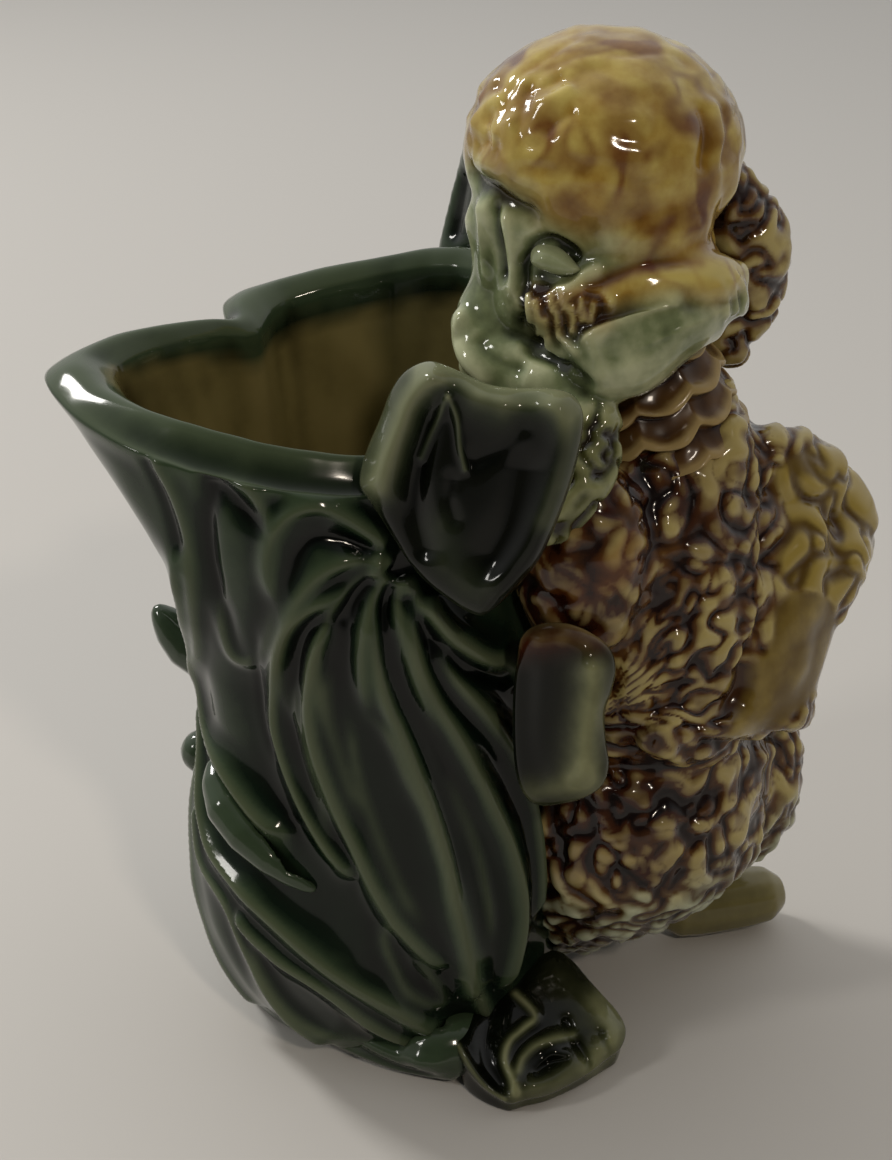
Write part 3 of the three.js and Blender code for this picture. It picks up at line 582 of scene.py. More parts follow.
# The back, which the photo doesn't show, carries the same fan turned about.
BACK_RIDGES = [
    [1.9, 6.5, 84,118, 92,113, 104,107, 112,96, 115,82, 109,66, 100,52, 92,42],
    [1.8, 6, 84,112, 94,103, 101,92, 102,78, 97,64, 89,48, 80,34, 72,26],
    [2.2, 6.5, 82,110, 87,98, 86,84, 82,70, 77,56, 72,42, 68,28, 64,14],
    [1.8, 6, 76,108, 74,92, 68,78, 62,62, 58,46, 57,30, 60,16],
    [1.6, 5, 70,104, 62,90, 54,74, 49,58, 48,40],
    [2, 7, 160,82, 150,58, 136,44, 118,34, 100,24, 84,14, 74,6],
    [1.7, 6.5, 152,40, 138,30, 122,20, 104,10, 92,4],
    [1.9, 7, 139,124, 146,104, 150,88, 143,72, 130,60, 116,50],
    [1.5, 6, 128,124, 131,106, 131,90, 124,76],
    [1.5, 6, 168,124, 166,108, 170,92, 176,78, 172,64],
]


def wall_reach(tree, angle, height, inwards):
    """Distance from the axis to the wall at an angle and height, seen from outside or from the axis."""
    way = Vector((math.cos(angle), math.sin(angle), 0.0))
    middle = Vector((AXIS[0], AXIS[1], height))
    hit = tree.ray_cast(middle + way * BEYOND, -way)[0] if inwards else tree.ray_cast(middle, way)[0]
    return np.nan if hit is None else (hit - middle).length


def wall_reaches(tree, angles, heights, inwards):
    """Those distances as a grid, for rows of heights with one height for each angle."""
    return np.array([filled_gaps(np.array([wall_reach(tree, a, h, inwards) for a, h in zip(angles, row)]))
                     for row in heights])


def rim_top(tree, angle):
    """The height of the rim's crown at an angle."""
    best = 0.0
    for reach in RIM_REACHES:
        start = Vector((AXIS[0] + reach * math.cos(angle), AXIS[1] + reach * math.sin(angle), ABOVE))
        hit = tree.ray_cast(start, Vector((0, 0, -1)))[0]
        if hit is not None:
            best = max(best, hit.z)
    return best


def blurred(grid, sigma):
    """Gaussian blur of a (row, column) grid, the columns running round and round."""
    reach = int(3 * sigma)
    weights = np.exp(-0.5 * (np.arange(-reach, reach + 1) / sigma) ** 2)
    weights /= weights.sum()
    out = sum(w * np.roll(grid, k, axis=1) for w, k in zip(weights, range(-reach, reach + 1)))
    padded = np.pad(out, ((reach, reach), (0, 0)), mode="edge")
    return sum(w * padded[k:k + grid.shape[0]] for k, w in enumerate(weights))


def filled_gaps(row):
    """A row of reaches with its missing values (NaN) filled from its neighbours."""
    bad = np.isnan(row)
    if bad.any() and not bad.all():
        i = np.arange(len(row))
        row = row.copy()
        row[bad] = np.interp(i[bad], i[~bad], row[~bad], period=len(row))
    return row


def vessel_grid():
    """The vessel as a grid of points: up its wall, over its rim, down its cavity.

    Also the columns' angles, the heights of the wall's top, and how far down the cavity each point lies."""
    bare = ray_tree(["vase_vessel"])
    angles = np.arange(WALL_COLUMNS) * 2 * math.pi / WALL_COLUMNS
    tops = blurred(np.array([[rim_top(bare, a) for a in angles]]), 3)[0] - RIM_ROLL
    rows = np.arange(WALL_ROWS) / (WALL_ROWS - 1)
    heights = np.clip(np.outer(rows, tops), 0.25, tops - 0.25)
    reach = wall_reaches(ray_tree(WALL_NODES), angles, heights, inwards=True)
    sharp = blurred(reach, 2.2)
    soft = blurred(reach, 6.5)
    off_ends = smoothstep(0, 10, np.arange(WALL_ROWS)) * smoothstep(0, 12, WALL_ROWS - 1 - np.arange(WALL_ROWS))
    reach = mix(sharp, soft, off_ends[:, None])
    cavity_shares = np.linspace(1, 0, CAVITY_ROWS)
    heights = mix(FLOOR + 0.4, tops - 0.3, cavity_shares[:, None])
    inner = blurred(wall_reaches(bare, angles, heights, inwards=False), 1.5)
    way = np.stack([np.cos(angles), np.sin(angles), np.zeros(WALL_COLUMNS)], axis=1)
    outer_rows = [AXIS + way * reach[r][:, None] + np.outer(rows[r] * tops, UP) for r in range(WALL_ROWS)]
    inner_rows = [AXIS + way * inner[r][:, None] + np.outer(mix(FLOOR, tops, s), UP)
                  for r, s in enumerate(cavity_shares)]
    near_side = smoothstep(0.15, 0.75, -np.sin(angles))
    rim_rows = []
    for t in (np.arange(RIM_ROWS) + 1) / (RIM_ROWS + 1):
        bow = mix(RIM_ROLL * math.sin(math.pi * t), NEAR_RIM_ROLL * math.sin(math.pi * t**2.4), near_side)
        rim_rows.append(mix(outer_rows[-1], inner_rows[0], t) + np.outer(bow, UP))
    depth = np.concatenate([np.full((WALL_ROWS, WALL_COLUMNS), -20.0),
                            np.linspace(-8, 0, RIM_ROWS)[:, None] * np.ones(WALL_COLUMNS),
                            (1 - cavity_shares)[:, None] * (tops - FLOOR)])
    return np.array(outer_rows + rim_rows + inner_rows), angles, tops, depth


def on_wall(grid, tops, places):
    """A path on the wall through places in degrees round the axis and millimetres up."""
    degrees, heights = curve_through(pairs(*places), steps=6).T
    column = degrees / 360 * WALL_COLUMNS
    left = np.floor(column).astype(int)
    across = (column - left)[:, None]
    left, right = left % WALL_COLUMNS, (left + 1) % WALL_COLUMNS
    row = np.clip(heights / tops[left], 0, 0.999) * (WALL_ROWS - 1)
    low = np.floor(row).astype(int)
    rise = (row - low)[:, None]
    below = mix(grid[low, left], grid[low, right], across)
    above = mix(grid[low + 1, left], grid[low + 1, right], across)
    return mix(below, above, rise)


def grid_faces(rows, columns):
    """Quads over a grid that closes round, and fans from its ends to their centres: the points after the grid's."""
    i, j = np.meshgrid(np.arange(rows - 1), np.arange(columns), indexing="ij")
    a = i * columns + j
    b = i * columns + (j + 1) % columns
    quads = np.stack([a, b, b + columns, a + columns], axis=-1).reshape(-1, 4)
    j = np.arange(columns)
    after = (j + 1) % columns
    top = (rows - 1) * columns
    centre = np.full(columns, rows * columns)
    first = np.stack([after, j, centre, centre], axis=1)
    last = np.stack([top + j, top + after, centre + 1, centre + 1], axis=1)
    return np.vstack([quads, first, last])


def line_strength(height):
    """How pale a ridge's crown is, or how dark a groove."""
    return 0.6 if height > 0 else -0.5


def make_vessel():
    grid, angles, tops, depth = vessel_grid()
    rows, columns = grid.shape[:2]
    points = np.vstack([grid.reshape(-1, 3), AXIS, AXIS + FLOOR * UP])
    quads = grid_faces(rows, columns)
    average = averager(points, quads)
    outside = np.arange(WALL_ROWS * columns)
    wall = points[outside]
    ridges = np.zeros(len(wall))
    lines = np.zeros(len(points))
    for height, width, *places in FAN_RIDGES + SWEEP_RIDGES + BACK_RIDGES:
        path = on_wall(grid, tops, places)
        ridge = crest(wall, path, 1.2 * height, width, taper=(0.08, 0.08), sharp=2.1)
        ridge += crest(wall, path, height=0.35, width=1.5, taper=(0.08, 0.08), sharp=1.2)
        ridges = np.maximum(ridges, ridge)
        line = crest(wall, path, height=0.9, width=1.3, taper=(0.15, 0.15), sharp=1)
        lines[outside] = np.maximum(lines[outside], line)
    for height, width, *places in FINE_LINES:
        path = on_wall(grid, tops, places)
        ridges += crest(wall, path, height, width)
        lines[outside] += crest(wall, path, line_strength(height), LINE_WIDTH, sharp=1)
    tree = skin_tree(points, quads)
    ridges += stroked(wall, tree, HUB_STROKES, taper=(0.05, 0.4))
    hub_lines = [[line_strength(height), LINE_WIDTH, *places] for height, _, *places in HUB_STROKES]
    lines[outside] += stroked(wall, tree, hub_lines, taper=(0.05, 0.5))
    lines[len(wall):len(wall) + RIM_ROWS * columns] = RIM_LINE
    relief = np.zeros(len(points))
    relief[outside] = ridges
    relief += 0.25 * noise3(points / 9, 5)
    points = raised(points, quads, relief)
    points[:, 2] = np.maximum(points[:, 2], 0.0)
    points = average(points, share=0.4)
    # The tan glaze starts lower down inside at the far side.
    turn = np.tile(angles, rows)
    shift = np.concatenate([6.5 * np.sqrt(np.clip(np.sin(turn), 0, 1)), [0, 0]])
    deep = np.concatenate([depth.ravel(), [-20, 90]]) + 1.5 * noise3(points / 6, 8)
    values = {"relief": standing_out(points, quads, average), "line": np.clip(lines, 0, 1),
              "inside": smoothstep(-1.5, 2.5, deep - shift)}
    put_in_scene("vessel", points, quads, WALL_NODES,
                 glaze("green glaze", GREEN, [("line", LINE_GREEN), ("inside", TAN)], mottle=0.2, shine=0.19), values)


# ---- smaller leaves

PETAL_OUTLINE = pairs(361,468, 368,446, 380,418, 390,392, 402,374, 417,364, 432,361, 450,367, 470,376, 492,385,
    520,388, 550,388, 572,394, 583,412, 582,438, 575,470, 565,502, 552,534, 538,562, 518,586, 498,606, 482,616,
    466,611, 446,598, 426,582, 410,564, 398,546, 384,524, 370,502, 360,486)
PETAL_STROKES = [
    [3, 30, 430,378, 411,400, 399,428, 388,458, 380,488],
    [0.9, 24, 430,376, 454,383, 478,392, 500,398],
    [-2.2, 24, 428,420, 422,446, 416,480, 416,515, 424,548],
    [0.7, 7, 447,396, 440,414, 430,436, 421,458],
    [0.8, 7, 449,398, 457,420, 460,448, 465,470],
    [-0.6, 12, 452,480, 449,500, 454,520],
    [1.6, 40, 484,404, 500,412],
    [-0.8, 18, 476,460, 500,448, 520,428],
    [2, 30, 556,404, 564,440, 558,480, 544,520, 526,556, 500,590],
    [-1.4, 34, 520,470, 510,520, 494,556],
]
# Paler glaze on the petal's folds and edges, and a painted highlight on its flap.
PETAL_PALE_AND_HIGHLIGHT = [
    [1, 32, 430,374, 409,400, 396,428, 385,458, 376,484],
    [0.9, 22, 428,368, 452,374, 476,384, 504,392, 545,394],
    [0.9, 40, 530,386, 556,394, 572,404],
    [0.45, 22, 566,410, 572,450, 562,485, 548,522],
    [0.55, 5, 447,396, 440,414, 430,436, 421,458],
    [0.55, 5, 449,398, 457,420, 460,448, 465,470],
    # a painted highlight on the flap
    [0.4, 30, 478,400, 500,412],
    [0.25, 34, 440,530, 450,565, 470,590],
]


def make_petal():
    points, quads, average = cushion(PETAL_OUTLINE, centre=(474, 480), middle=(0, -38.5, 137),
                                     facing=(-0.22, -0.95, 0.2), thick=3.2, edge=26, deep=10, strokes=PETAL_STROKES)
    front = ((points - (0, -38, 137)) @ BACK) > -6
    pale_and_highlight = mask(on_picture(points)[0], PETAL_PALE_AND_HIGHLIGHT) * front
    # The edge tint lays the paler glaze and the flap's painted highlight over the petal.
    values = {"relief": 0.12 + 0.6 * standing_out(points, quads, average) + 0.28 * pale_and_highlight, "edge": pale_and_highlight}
    put_in_scene("petal", points, quads, ["front_petal", "petal_edge"],
                 glaze("petal glaze", DARK_GREEN, [("edge", PETAL_EDGE)], mottle=0.25, shine=0.16), values)


KNOT_ROLL = [(-34, -25, 4.2, 4), (-24, -31.5, 4.4, 4.2), (-14, -36.5, 4.6, 4.4), (-5, -39.5, 4.8, 4)]
KNOT_STROKES = [
    [0.9, 2.4, 330,1010, 360,1036, 400,1056, 452,1066],
    [-0.8, 2, 330,1024, 362,1050, 404,1070, 446,1078],
]
TALL_LEAF_STROKES = [
    [1, 3, 461,147, 450,182, 441,217, 435,252],
    [-1.2, 4, 466,165, 459,205, 452,248],
]


def make_leaf_piece(name, nodes, melt, glazed, lumps=(), strokes=()):
    points, quads = fused(nodes, melt, lumps)
    average = averager(points, quads)
    relief = stroked(points, skin_tree(points, quads), strokes)
    points = raised(points, quads, average(relief))
    values = {"relief": standing_out(points, quads, average)}
    put_in_scene(name, points, quads, nodes, glazed, values)


FOOT_OUTLINE = pairs(456,1040, 468,1018, 490,1000, 508,982, 530,962, 554,950, 572,960, 588,978, 604,996, 618,1012,
    626,1030, 621,1048, 606,1060, 588,1074, 568,1086, 546,1096, 526,1100, 510,1104, 496,1098, 480,1086, 466,1070,
    458,1055)
FOOT_STROKES = [
    [1.3, 9, 500,986, 522,998, 536,1017, 524,1028, 510,1041, 505,1059, 511,1078, 516,1092],
    [1.3, 10, 517,1080, 521,1061, 534,1047, 552,1039, 572,1036],
    [-1.6, 10, 566,1022, 576,1042, 588,1062, 592,1082],
    [-1.2, 8, 602,1034, 608,1050, 606,1066],
    [-2, 18, 492,1012, 486,1040, 488,1064, 500,1084],
    [1.6, 8, 458,1044, 470,1066, 486,1086, 504,1100],
    [1.6, 20, 556,1050, 570,1064, 560,1080, 536,1088],
    [-1.2, 9, 538,1072, 552,1062, 566,1060],
    [1.2, 18, 604,1012, 612,1030, 604,1048],
]
# Paler glaze on the foot's ridges and right toe, and a painted highlight along its left edge.
FOOT_PALE_AND_HIGHLIGHT = [
    [0.9, 8, 516,994, 534,1015, 524,1028, 510,1041, 505,1059, 511,1078, 516,1092],
    [0.8, 9, 519,1070, 524,1057, 536,1045, 554,1038, 572,1035],
    [0.9, 26, 600,1002, 616,1026, 610,1046, 596,1062],
    [0.6, 24, 580,1072, 556,1088, 520,1098],
    # a painted highlight along the left edge
    [0.6, 5, 458,1046, 470,1068, 486,1088, 504,1100],
    [0.25, 40, 560,980, 580,1000, 590,1020],
]
PAW_OUTLINE = pairs(517,660, 522,636, 538,624, 566,623, 592,633, 610,648, 616,668, 612,690, 605,712, 606,740, 609,766,
    602,786, 584,798, 562,804, 544,806, 528,800, 517,778, 513,742, 513,694)
PAW_STROKES = [
    [2.6, 26, 594,672, 594,700, 587,740, 585,772],
    [-1, 24, 562,672, 558,700, 550,742, 546,772],
    [0.9, 20, 540,640, 560,638, 584,646],
    [-1.7, 24, 526,676, 526,710, 527,745, 534,784],
]
PAW_LIGHTER = [
    [1, 34, 592,676, 592,700, 586,740, 582,776],
    [0.5, 24, 534,790, 560,788, 586,780],
]
PAW_CUFF = [[1, 30, 522,642, 550,638, 576,632, 596,636]]
LIMB_TINTS = {"paler": PALE_PAW, "cuff": MAROON}


def make_limb_end(name, nodes, masks, **form):
    """The near foot or paw: a cushion with pale places, and a brown cuff on the paw."""
    points, quads, average = cushion(**form)
    points[:, 2] = np.maximum(points[:, 2], ABOVE_TABLE)
    spot = on_picture(points)[0]
    values = {key: mask(spot, strokes) for key, strokes in masks.items()}
    values["relief"] = 0.16 + 0.6 * standing_out(points, quads, average) + 0.26 * values["paler"]
    tints = [(key, LIMB_TINTS[key]) for key in masks]
    put_in_scene(name, points, quads, nodes,
                 glaze(name + " glaze", DARK_GREEN, tints, mottle=0.35, shine=0.17), values)


# ---- dog's body

# Lumps on the body, the rolls as rows (x, y, z, radius): the near arm, the neck, the shoulder and the upper arm.
BODY_LUMPS = [((20, -23.5, 112), (13, 11.5, 20), 0), ((40, -2, 68), (26, 25, 9), 0)]
BODY_ROLLS = [
    [(69, 4, 97, 11), (67, -1, 86, 11), (63, -7, 74, 10.5), (55, -14, 70.5, 9), (45, -22, 73, 8), (37, -27, 77, 6.5)],
    [(43, -13, 124, 5), (47, -8, 130, 5.5), (49, -1, 135, 5)],
    [(53, 0, 123, 7.5), (60, 4, 119, 8.5), (66, 8, 114, 9)],
    [(62, -2, 106, 8.5), (62, -5.5, 95, 9), (61, -9, 84, 9), (57, -13, 77, 8)],
    [(56, -4, 106, 8.5), (57, -7.5, 95, 9.5), (56, -11, 85, 9.5), (53, -15, 78, 8.5)],
]
NEAR_SIDE = [(18, -34, 118), (20, -34, 104)]
FUR_DEPTH = 2.3
PAW_TIP = (598, 720)
ARM_STROKES = [
    [-1.6, 3, 790,448, 773,488, 764,525, 765,572, 760,598],
    [-1.8, 3.4, 760,598, 761,625, 748,658, 736,698, 700,722, 655,735],
    [-1.4, 3, 655,735, 700,746, 760,742, 792,728],
]
ARM_ON_PICTURE = [[1, 60, 804,622, 798,658, 774,690, 732,712]]
# Painted shade: the fur's front darkened and tinted maroon where the paw, the petal and the collar hang over it.
PAINTED_SHADE_ON_PICTURE = [[0.9, 62, 585,800, 630,795, 672,808], [0.8, 44, 565,850, 620,848],
                   [0.8, 48, 556,560, 585,600], [0.6, 30, 700,470, 745,500, 750,560]]
SHOULDER_ON_PICTURE = [[1, 84, 826,490, 838,530, 826,560]]
# The pulls that bring the outline to the photo's: x, y, to the right, down, reach.
BODY_PULLS = [[772, 388, -26, 10, 34], [864, 640, -24, 0, 46], [846, 706, -18, -10, 44],
              [765, 768, 0, -28, 46], [700, 752, 0, -12, 36]]


def fur_relief(points):
    """The height of the fur at each point, from 0 in a valley to 1 on a curl's back: curls, and combed strands
    that fan out from the paw."""
    plain = curls(points, 6.8, seed=2)
    small = curls(points + 40, 4.2, seed=7)
    fur = np.clip(0.78 * plain + 0.28 * small, 0, 1)
    away = on_picture(points)[0] - PAW_TIP
    far = np.linalg.norm(away, axis=1)
    turn = np.arctan2(-away[:, 1], away[:, 0])
    strand = np.stack([turn * 8.5, far / 30, turn * 0], axis=1)
    combed = 1 - np.exp(-np.abs(noise3(strand + 0.4 * noise_vector(points / 6, 9), 12)) / 0.15)
    lower_mane = (smoothstep(215, 150, far) * smoothstep(-0.25, 0.0, turn) * smoothstep(1.5, 1.0, turn)
                  * smoothstep(5, 0, points[:, 1]))
    return mix(fur, combed, lower_mane)


def make_body():
    nodes = ["haunches", "chest", "far_thigh", "near_shoulder", "far_shoulder", "far_arm"]
    lumps = BODY_LUMPS + [one for roll in BODY_ROLLS for one in roll_of_clay(roll)]
    points, quads = fused([n for n in nodes if n != "near_shoulder"], melt=34, lumps=lumps, swell=0.5)
    points = pulled(points, BODY_PULLS)
    average = averager(points, quads)
    spot = on_picture(points)[0]
    arm = smoothstep(0.3, 0.5, drawn(spot, ARM_ON_PICTURE)) * smoothstep(26, 20, points[:, 1])
    arm *= smoothstep(46, 52, points[:, 0] + 6 * noise3(points / 8, 19))
    shoulder = smoothstep(0.25, 0.5, drawn(spot, SHOULDER_ON_PICTURE)) * smoothstep(46, 52, points[:, 0])
    shoulder *= smoothstep(30, 22, points[:, 1]) * (1 - arm)
    points = mix(points, average(points, times=50, share=0.6), np.maximum(arm, 0.45 * shoulder)[:, None])
    near_side = nearness(points, NEAR_SIDE, reach=9, soft=8)
    fur = fur_relief(points)
    fur = fur * mix(0.74, 1.0, smoothstep(-0.35, 0.25, noise3(points / 4.6, 23)))
    big = curls(points, 8.4, seed=21)
    fur = mix(fur, big, np.clip(shoulder + 0.4 * near_side, 0, 1)) ** 1.15
    depth = FUR_DEPTH * (1 - 0.94 * arm) * (1 - 0.25 * near_side) * (1 - 0.3 * shoulder)
    relief = depth * (average(fur, times=2) - 0.5) + 0.5 * noise3(points / 8, 6)
    relief += stroked(points, skin_tree(points, quads), ARM_STROKES)
    points = raised(points, quads, relief)
    points = average(points, share=0.3)
    points[:, 2] = np.maximum(points[:, 2], ABOVE_TABLE)
    out = standing_out(points, quads, average)
    tone = mix(out, np.clip(1.5 * fur - 0.36, 0, 1), 0.6 * (1 - arm)) + 0.2 * shoulder + 0.12 * noise3(points / 9, 24)
    patch = smoothstep(-0.3, 0.3, noise3(points / 11, 14))
    left = smoothstep(62, 30, points[:, 0] + 6 * noise3(points / 12, 16))
    pale = smoothstep(46, 32, points[:, 2] + 6 * noise3(points / 9, 15)) * smoothstep(0.3, 0.7, fur)
    bare = (1 - arm) * (1 - shoulder)
    # Painted shade under the paw, the petal and the collar, on the camera's side only.
    dark = mask(spot, PAINTED_SHADE_ON_PICTURE) * smoothstep(12, 4, points[:, 1])
    tone -= 0.08 * dark
    # The maroon tint is part glaze patches on the left and part painted shade.
    values = {"relief": tone, "oat": 0.9 * pale, "olive": np.maximum(arm, shoulder),
              "maroon_and_painted_shade": np.maximum(left * patch, dark) * bare * (1 - 0.8 * pale),
              "rust": 0.6 * near_side * smoothstep(-0.1, 0.3, noise3(points / 8, 17)) * bare}
    put_in_scene("body", points, quads, nodes,
                 glaze("fur glaze", CURL, [("maroon_and_painted_shade", MAROON), ("rust", RUST), ("oat", OAT), ("olive", OLIVE)],
                       roughness=0.15, shine=0.27), values)


# ---- head

HEAD_STROKES = [
    # the topknot's lower edge, and the folds of the near ear
    [-2.2, 4, 464,160, 472,180, 491,192, 507,205, 526,214, 548,219],
    [-1.5, 2.4, 490,196, 497,232, 501,262, 504,288],
    [1.1, 3, 478,190, 484,233, 486,265, 490,292],
    [1, 3, 500,202, 506,228, 513,255, 514,280, 512,304],
    [-1.3, 2.4, 521,250, 524,276, 521,304, 521,330],
    [-1.1, 2.2, 521,340, 537,354, 562,362, 584,379, 600,392],
    [1.4, 4, 473,304, 462,318, 459,336, 466,358, 480,374, 498,386],
    [-1, 4, 478,330, 484,350, 505,365, 530,372],
    # the crease round the eye and the lid below it
    [-1.3, 1.8, 530,270, 528,256, 536,243, 552,240, 568,247, 582,262],
    [-0.7, 1.6, 532,272, 548,279, 566,281, 582,272],
    [1.4, 2, 548,289, 564,287, 579,281, 592,273, 606,268],
    # the step between brow and muzzle
    [-0.8, 2.2, 532,282, 552,290, 576,288, 606,278, 634,266, 664,261, 700,258],
    # edges of the muzzle's planes
    [1.2, 2, 560,303, 570,295, 581,292, 598,300, 621,304],
    [1.6, 4, 575,348, 600,335, 630,322, 658,309, 690,298],
    [0.5, 2, 577,347, 600,334, 630,322, 656,310],
    [-0.7, 6, 600,362, 640,352, 680,338],
    [-0.35, 4, 660,334, 672,330, 684,324],
    # strokes of hair on the muzzle's right end
    [0.6, 1.6, 731,271, 741,286, 744,306],
    [0.6, 1.6, 723,274, 733,291, 736,314],
    [0.5, 1.6, 714,278, 725,297, 727,320],
    [0.5, 1.6, 738,282, 742,296, 741,316],
    # folds and locks of the topknot
    [-1.1, 3.4, 700,98, 707,140, 703,178],
    [-0.8, 3, 722,100, 729,135, 722,172],
    [0.6, 3, 714,96, 720,135, 712,176],
    [-0.8, 4, 648,175, 642,212, 636,242],
    [0.6, 3.2, 476,104, 485,90, 500,80],
    [0.6, 3.2, 468,132, 477,114, 492,101, 508,96],
    [0.8, 3.6, 494,140, 504,126, 520,120],
    [-0.6, 2.6, 484,128, 492,112, 510,104],
    [-0.9, 3, 472,150, 482,142, 492,140],
    [-0.8, 3, 520,90, 545,84, 566,70],
    [0.8, 3.4, 528,104, 552,98, 576,82],
    [-0.8, 3, 540,140, 556,120, 580,108],
]
WHISKER_STROKES = [[1, 7, *dab] for dab in [
    (528,296, 531,318), (537,302, 541,330), (546,318, 551,342), (550,294, 553,308), (557,312, 562,337),
    (565,294, 566,306), (572,308, 574,332), (582,300, 583,318), (594,304, 591,320), (567,342, 576,352),
    (552,348, 561,357)]]
HEAD_PULLS = [[448, 268, 26, 0, 42], [444, 338, 10, 0, 26], [556, 308, -30, 2, 32], [702, 388, 0, -36, 52],
              [748, 350, -12, -18, 34], [758, 300, -9, 0, 34]]
SMOOTH_FACE = [[1.3, 44, 486,210, 492,260, 500,320, 520,350],
               [1.3, 44, 530,240, 545,275, 600,285, 680,275]]
MUZZLE_TOP = [[1, 34, 590,300, 630,285, 680,275, 715,285]]
WHISKERS = [[1, 32, 538,302, 550,324, 566,322, 590,308]]
EYE_OUTLINE = pairs(531,262, 531,252, 537,245, 547,243, 557,246, 567,253, 575,262, 580,270, 571,275, 559,275, 547,272,
    537,268)
EYE_PLANE = pairs(534,254, 580,262, 556,284)
MUZZLE_RUST = [
    [1, 12, 536,290, 552,296, 576,294, 606,282, 634,270, 664,264, 700,262],
    [0.7, 22, 545,305, 580,312, 602,318],
]
# Lumps on the head, the rolls as rows (x, y, z, radius).
HEAD_LUMPS = [((26, -4.5, 173), (17, 16, 13), -59), ((29, -9, 165.5), (13, 15, 7), -59),
              ((22, -11, 158), (11, 10, 9.5), -59), ((13, -9.5, 164), (7, 5, 11), -59),
              ((6, -6.5, 168), (7, 6.5, 17), -20), ((43, -9, 156), (8, 8, 8), -59),
              ((8.5, -8.0, 161), (6.5, 7, 11), 0), ((13, -9.5, 170), (8, 6.5, 8), 0)]
BROW = [(13, -13, 160, 5), (20, -16.5, 161, 6.4), (29, -17.5, 162, 6.6), (39, -15, 162, 6.4), (45, -9, 160.5, 5)]
EAR_FOLD = [(-3, -5, 152, 4), (1, -9, 148, 4.8), (8, -13, 146, 5.4), (15, -17, 144.5, 5.6)]
TUFT = [(17.5, -19, 144, 5), (19.5, -23.5, 137, 6.2), (18, -27.5, 130, 6), (13, -31, 124, 4.4)]
FAR_EAR = [(46, 14, 172, 6), (52, 18, 160, 8.5), (52, 19, 147, 9), (49, 17, 136, 7.5)]


def make_eye(tree):
    """The near eye: an almond laid on the head's skin."""
    left, right, low = (np.array(tree.ray_cast(Vector(STAND), Vector(way))[0]) for way in sight(EYE_PLANE))
    facing = unit(np.cross(right - left, low - left))
    facing = -facing if facing @ BACK < 0 else facing
    points, quads, average = cushion(EYE_OUTLINE, centre=(553, 259), middle=(left + right + low) / 3, facing=facing,
                                     thick=2, edge=13, deep=3, strokes=[[0.3, 14, 546,256, 562,262]])
    values = {"relief": 0.3 + 0.7 * standing_out(points, quads, average)}
    put_in_scene("near_eye_glazed", points, quads, ["near_eye"],
                 glaze("eye glaze", CELADON, mottle=0.4), values)


def make_head():
    nodes = ["skull", "topknot", "muzzle", "nose", "far_eye", "near_ear", "far_ear"]
    lumps = HEAD_LUMPS + [one for roll in (BROW, EAR_FOLD, TUFT, FAR_EAR) for one in roll_of_clay(roll)]
    points, quads = fused([n for n in nodes if n not in ("nose", "far_eye")], melt=26, lumps=lumps, voxel=0.55)
    points = pulled(points, HEAD_PULLS)
    average = averager(points, quads)
    smooth = mask(on_picture(points)[0], SMOOTH_FACE)
    points = mix(points, average(points, times=60, share=0.6), smooth[:, None])
    tree = skin_tree(points, quads)
    dabs = drawn(on_picture(points)[0], WHISKER_STROKES) * smoothstep(6, 0, points[:, 1])  # not on the far side
    relief = stroked(points, tree, HEAD_STROKES) + 1.1 * dabs
    make_eye(tree)
    above = points[:, 2] - 178 + 0.45 * (points[:, 0] - 8)
    top = smoothstep(-6, 5, above + 4 * noise3(points / 8, 31)) * smoothstep(158, 164, points[:, 2])
    far_ear = nearness(points, FAR_EAR, reach=9.5, soft=4) * smoothstep(36, 42, points[:, 0])
    tuft = nearness(points, TUFT, reach=7, soft=3) * smoothstep(146, 141, points[:, 2])
    locks = curls(points, 11, seed=41)
    left = smoothstep(22, 4, points[:, 0])
    relief += top * ((0.45 + 0.4 * left) * (average(locks, times=3) - 0.6) + 0.4 * noise3(points / 5, 43))
    curly = average(curls(points, 5, seed=44))
    relief += (1.7 * far_ear + 1.9 * tuft) * (curly - 0.6)
    relief += 0.25 * noise3(points / 7, 45)
    points = raised(points, quads, average(relief, share=0.5))
    out = standing_out(points, quads, average)
    spot = on_picture(points)[0]
    facing = smoothstep(6, 0, points[:, 1])
    muzzle_top = mask(spot, MUZZLE_TOP) * facing
    crease = mask(spot, MUZZLE_RUST) * facing
    whiskers = mask(spot, WHISKERS) * facing
    bent = points / np.array([7, 7, 11]) + 0.6 * noise_vector(points / 10, 51)
    streak = (1 - smoothstep(0.0, 0.3, np.abs(noise3(bent, 52)))) * smoothstep(-0.3, 0.2, noise3(points / 12, 53))
    cloud = smoothstep(-0.1, 0.4, noise3(points / 9, 54))
    tone = mix(out, 0.35 + 0.5 * out, top) + 0.12 * muzzle_top
    tone = mix(tone, 0.12 + 0.75 * np.clip(dabs, 0, 1), smoothstep(0.2, 0.6, whiskers))
    tone = np.where(far_ear + tuft > 0.3, np.clip(0.5 * out + 0.75 * curly - 0.3, 0, 1), tone)
    values = {"relief": tone, "straw": np.maximum(top, muzzle_top),
              "rust": np.clip((0.75 * streak + 0.6 * cloud) * top + 0.75 * crease, 0, 1),
              "fur": np.maximum(far_ear, 0.85 * whiskers), "tuft": tuft}
    put_in_scene("head", points, quads, nodes,
                 glaze("face glaze", CELADON, [("straw", STRAW), ("rust", RUST), ("fur", CURL), ("tuft", TUFT_GREEN)],
                       mottle=0.7), values)


# ---- collar

TIERS = ["collar_tier_1", "collar_tier_2", "collar_tier_3", "collar_tier_4"]
COLLAR_COLUMNS = 440
COLLAR_ROWS = 150
COLLAR_SHIFT = np.array([-4.0, -0.8, 0])
COLLAR_REACH = 11.2
COLLAR_BROWN = [(32, 12, 5), (86, 60, 30), (160, 138, 92)]
SCALLOPS = 10
SCALLOP_DEEP = 0.32


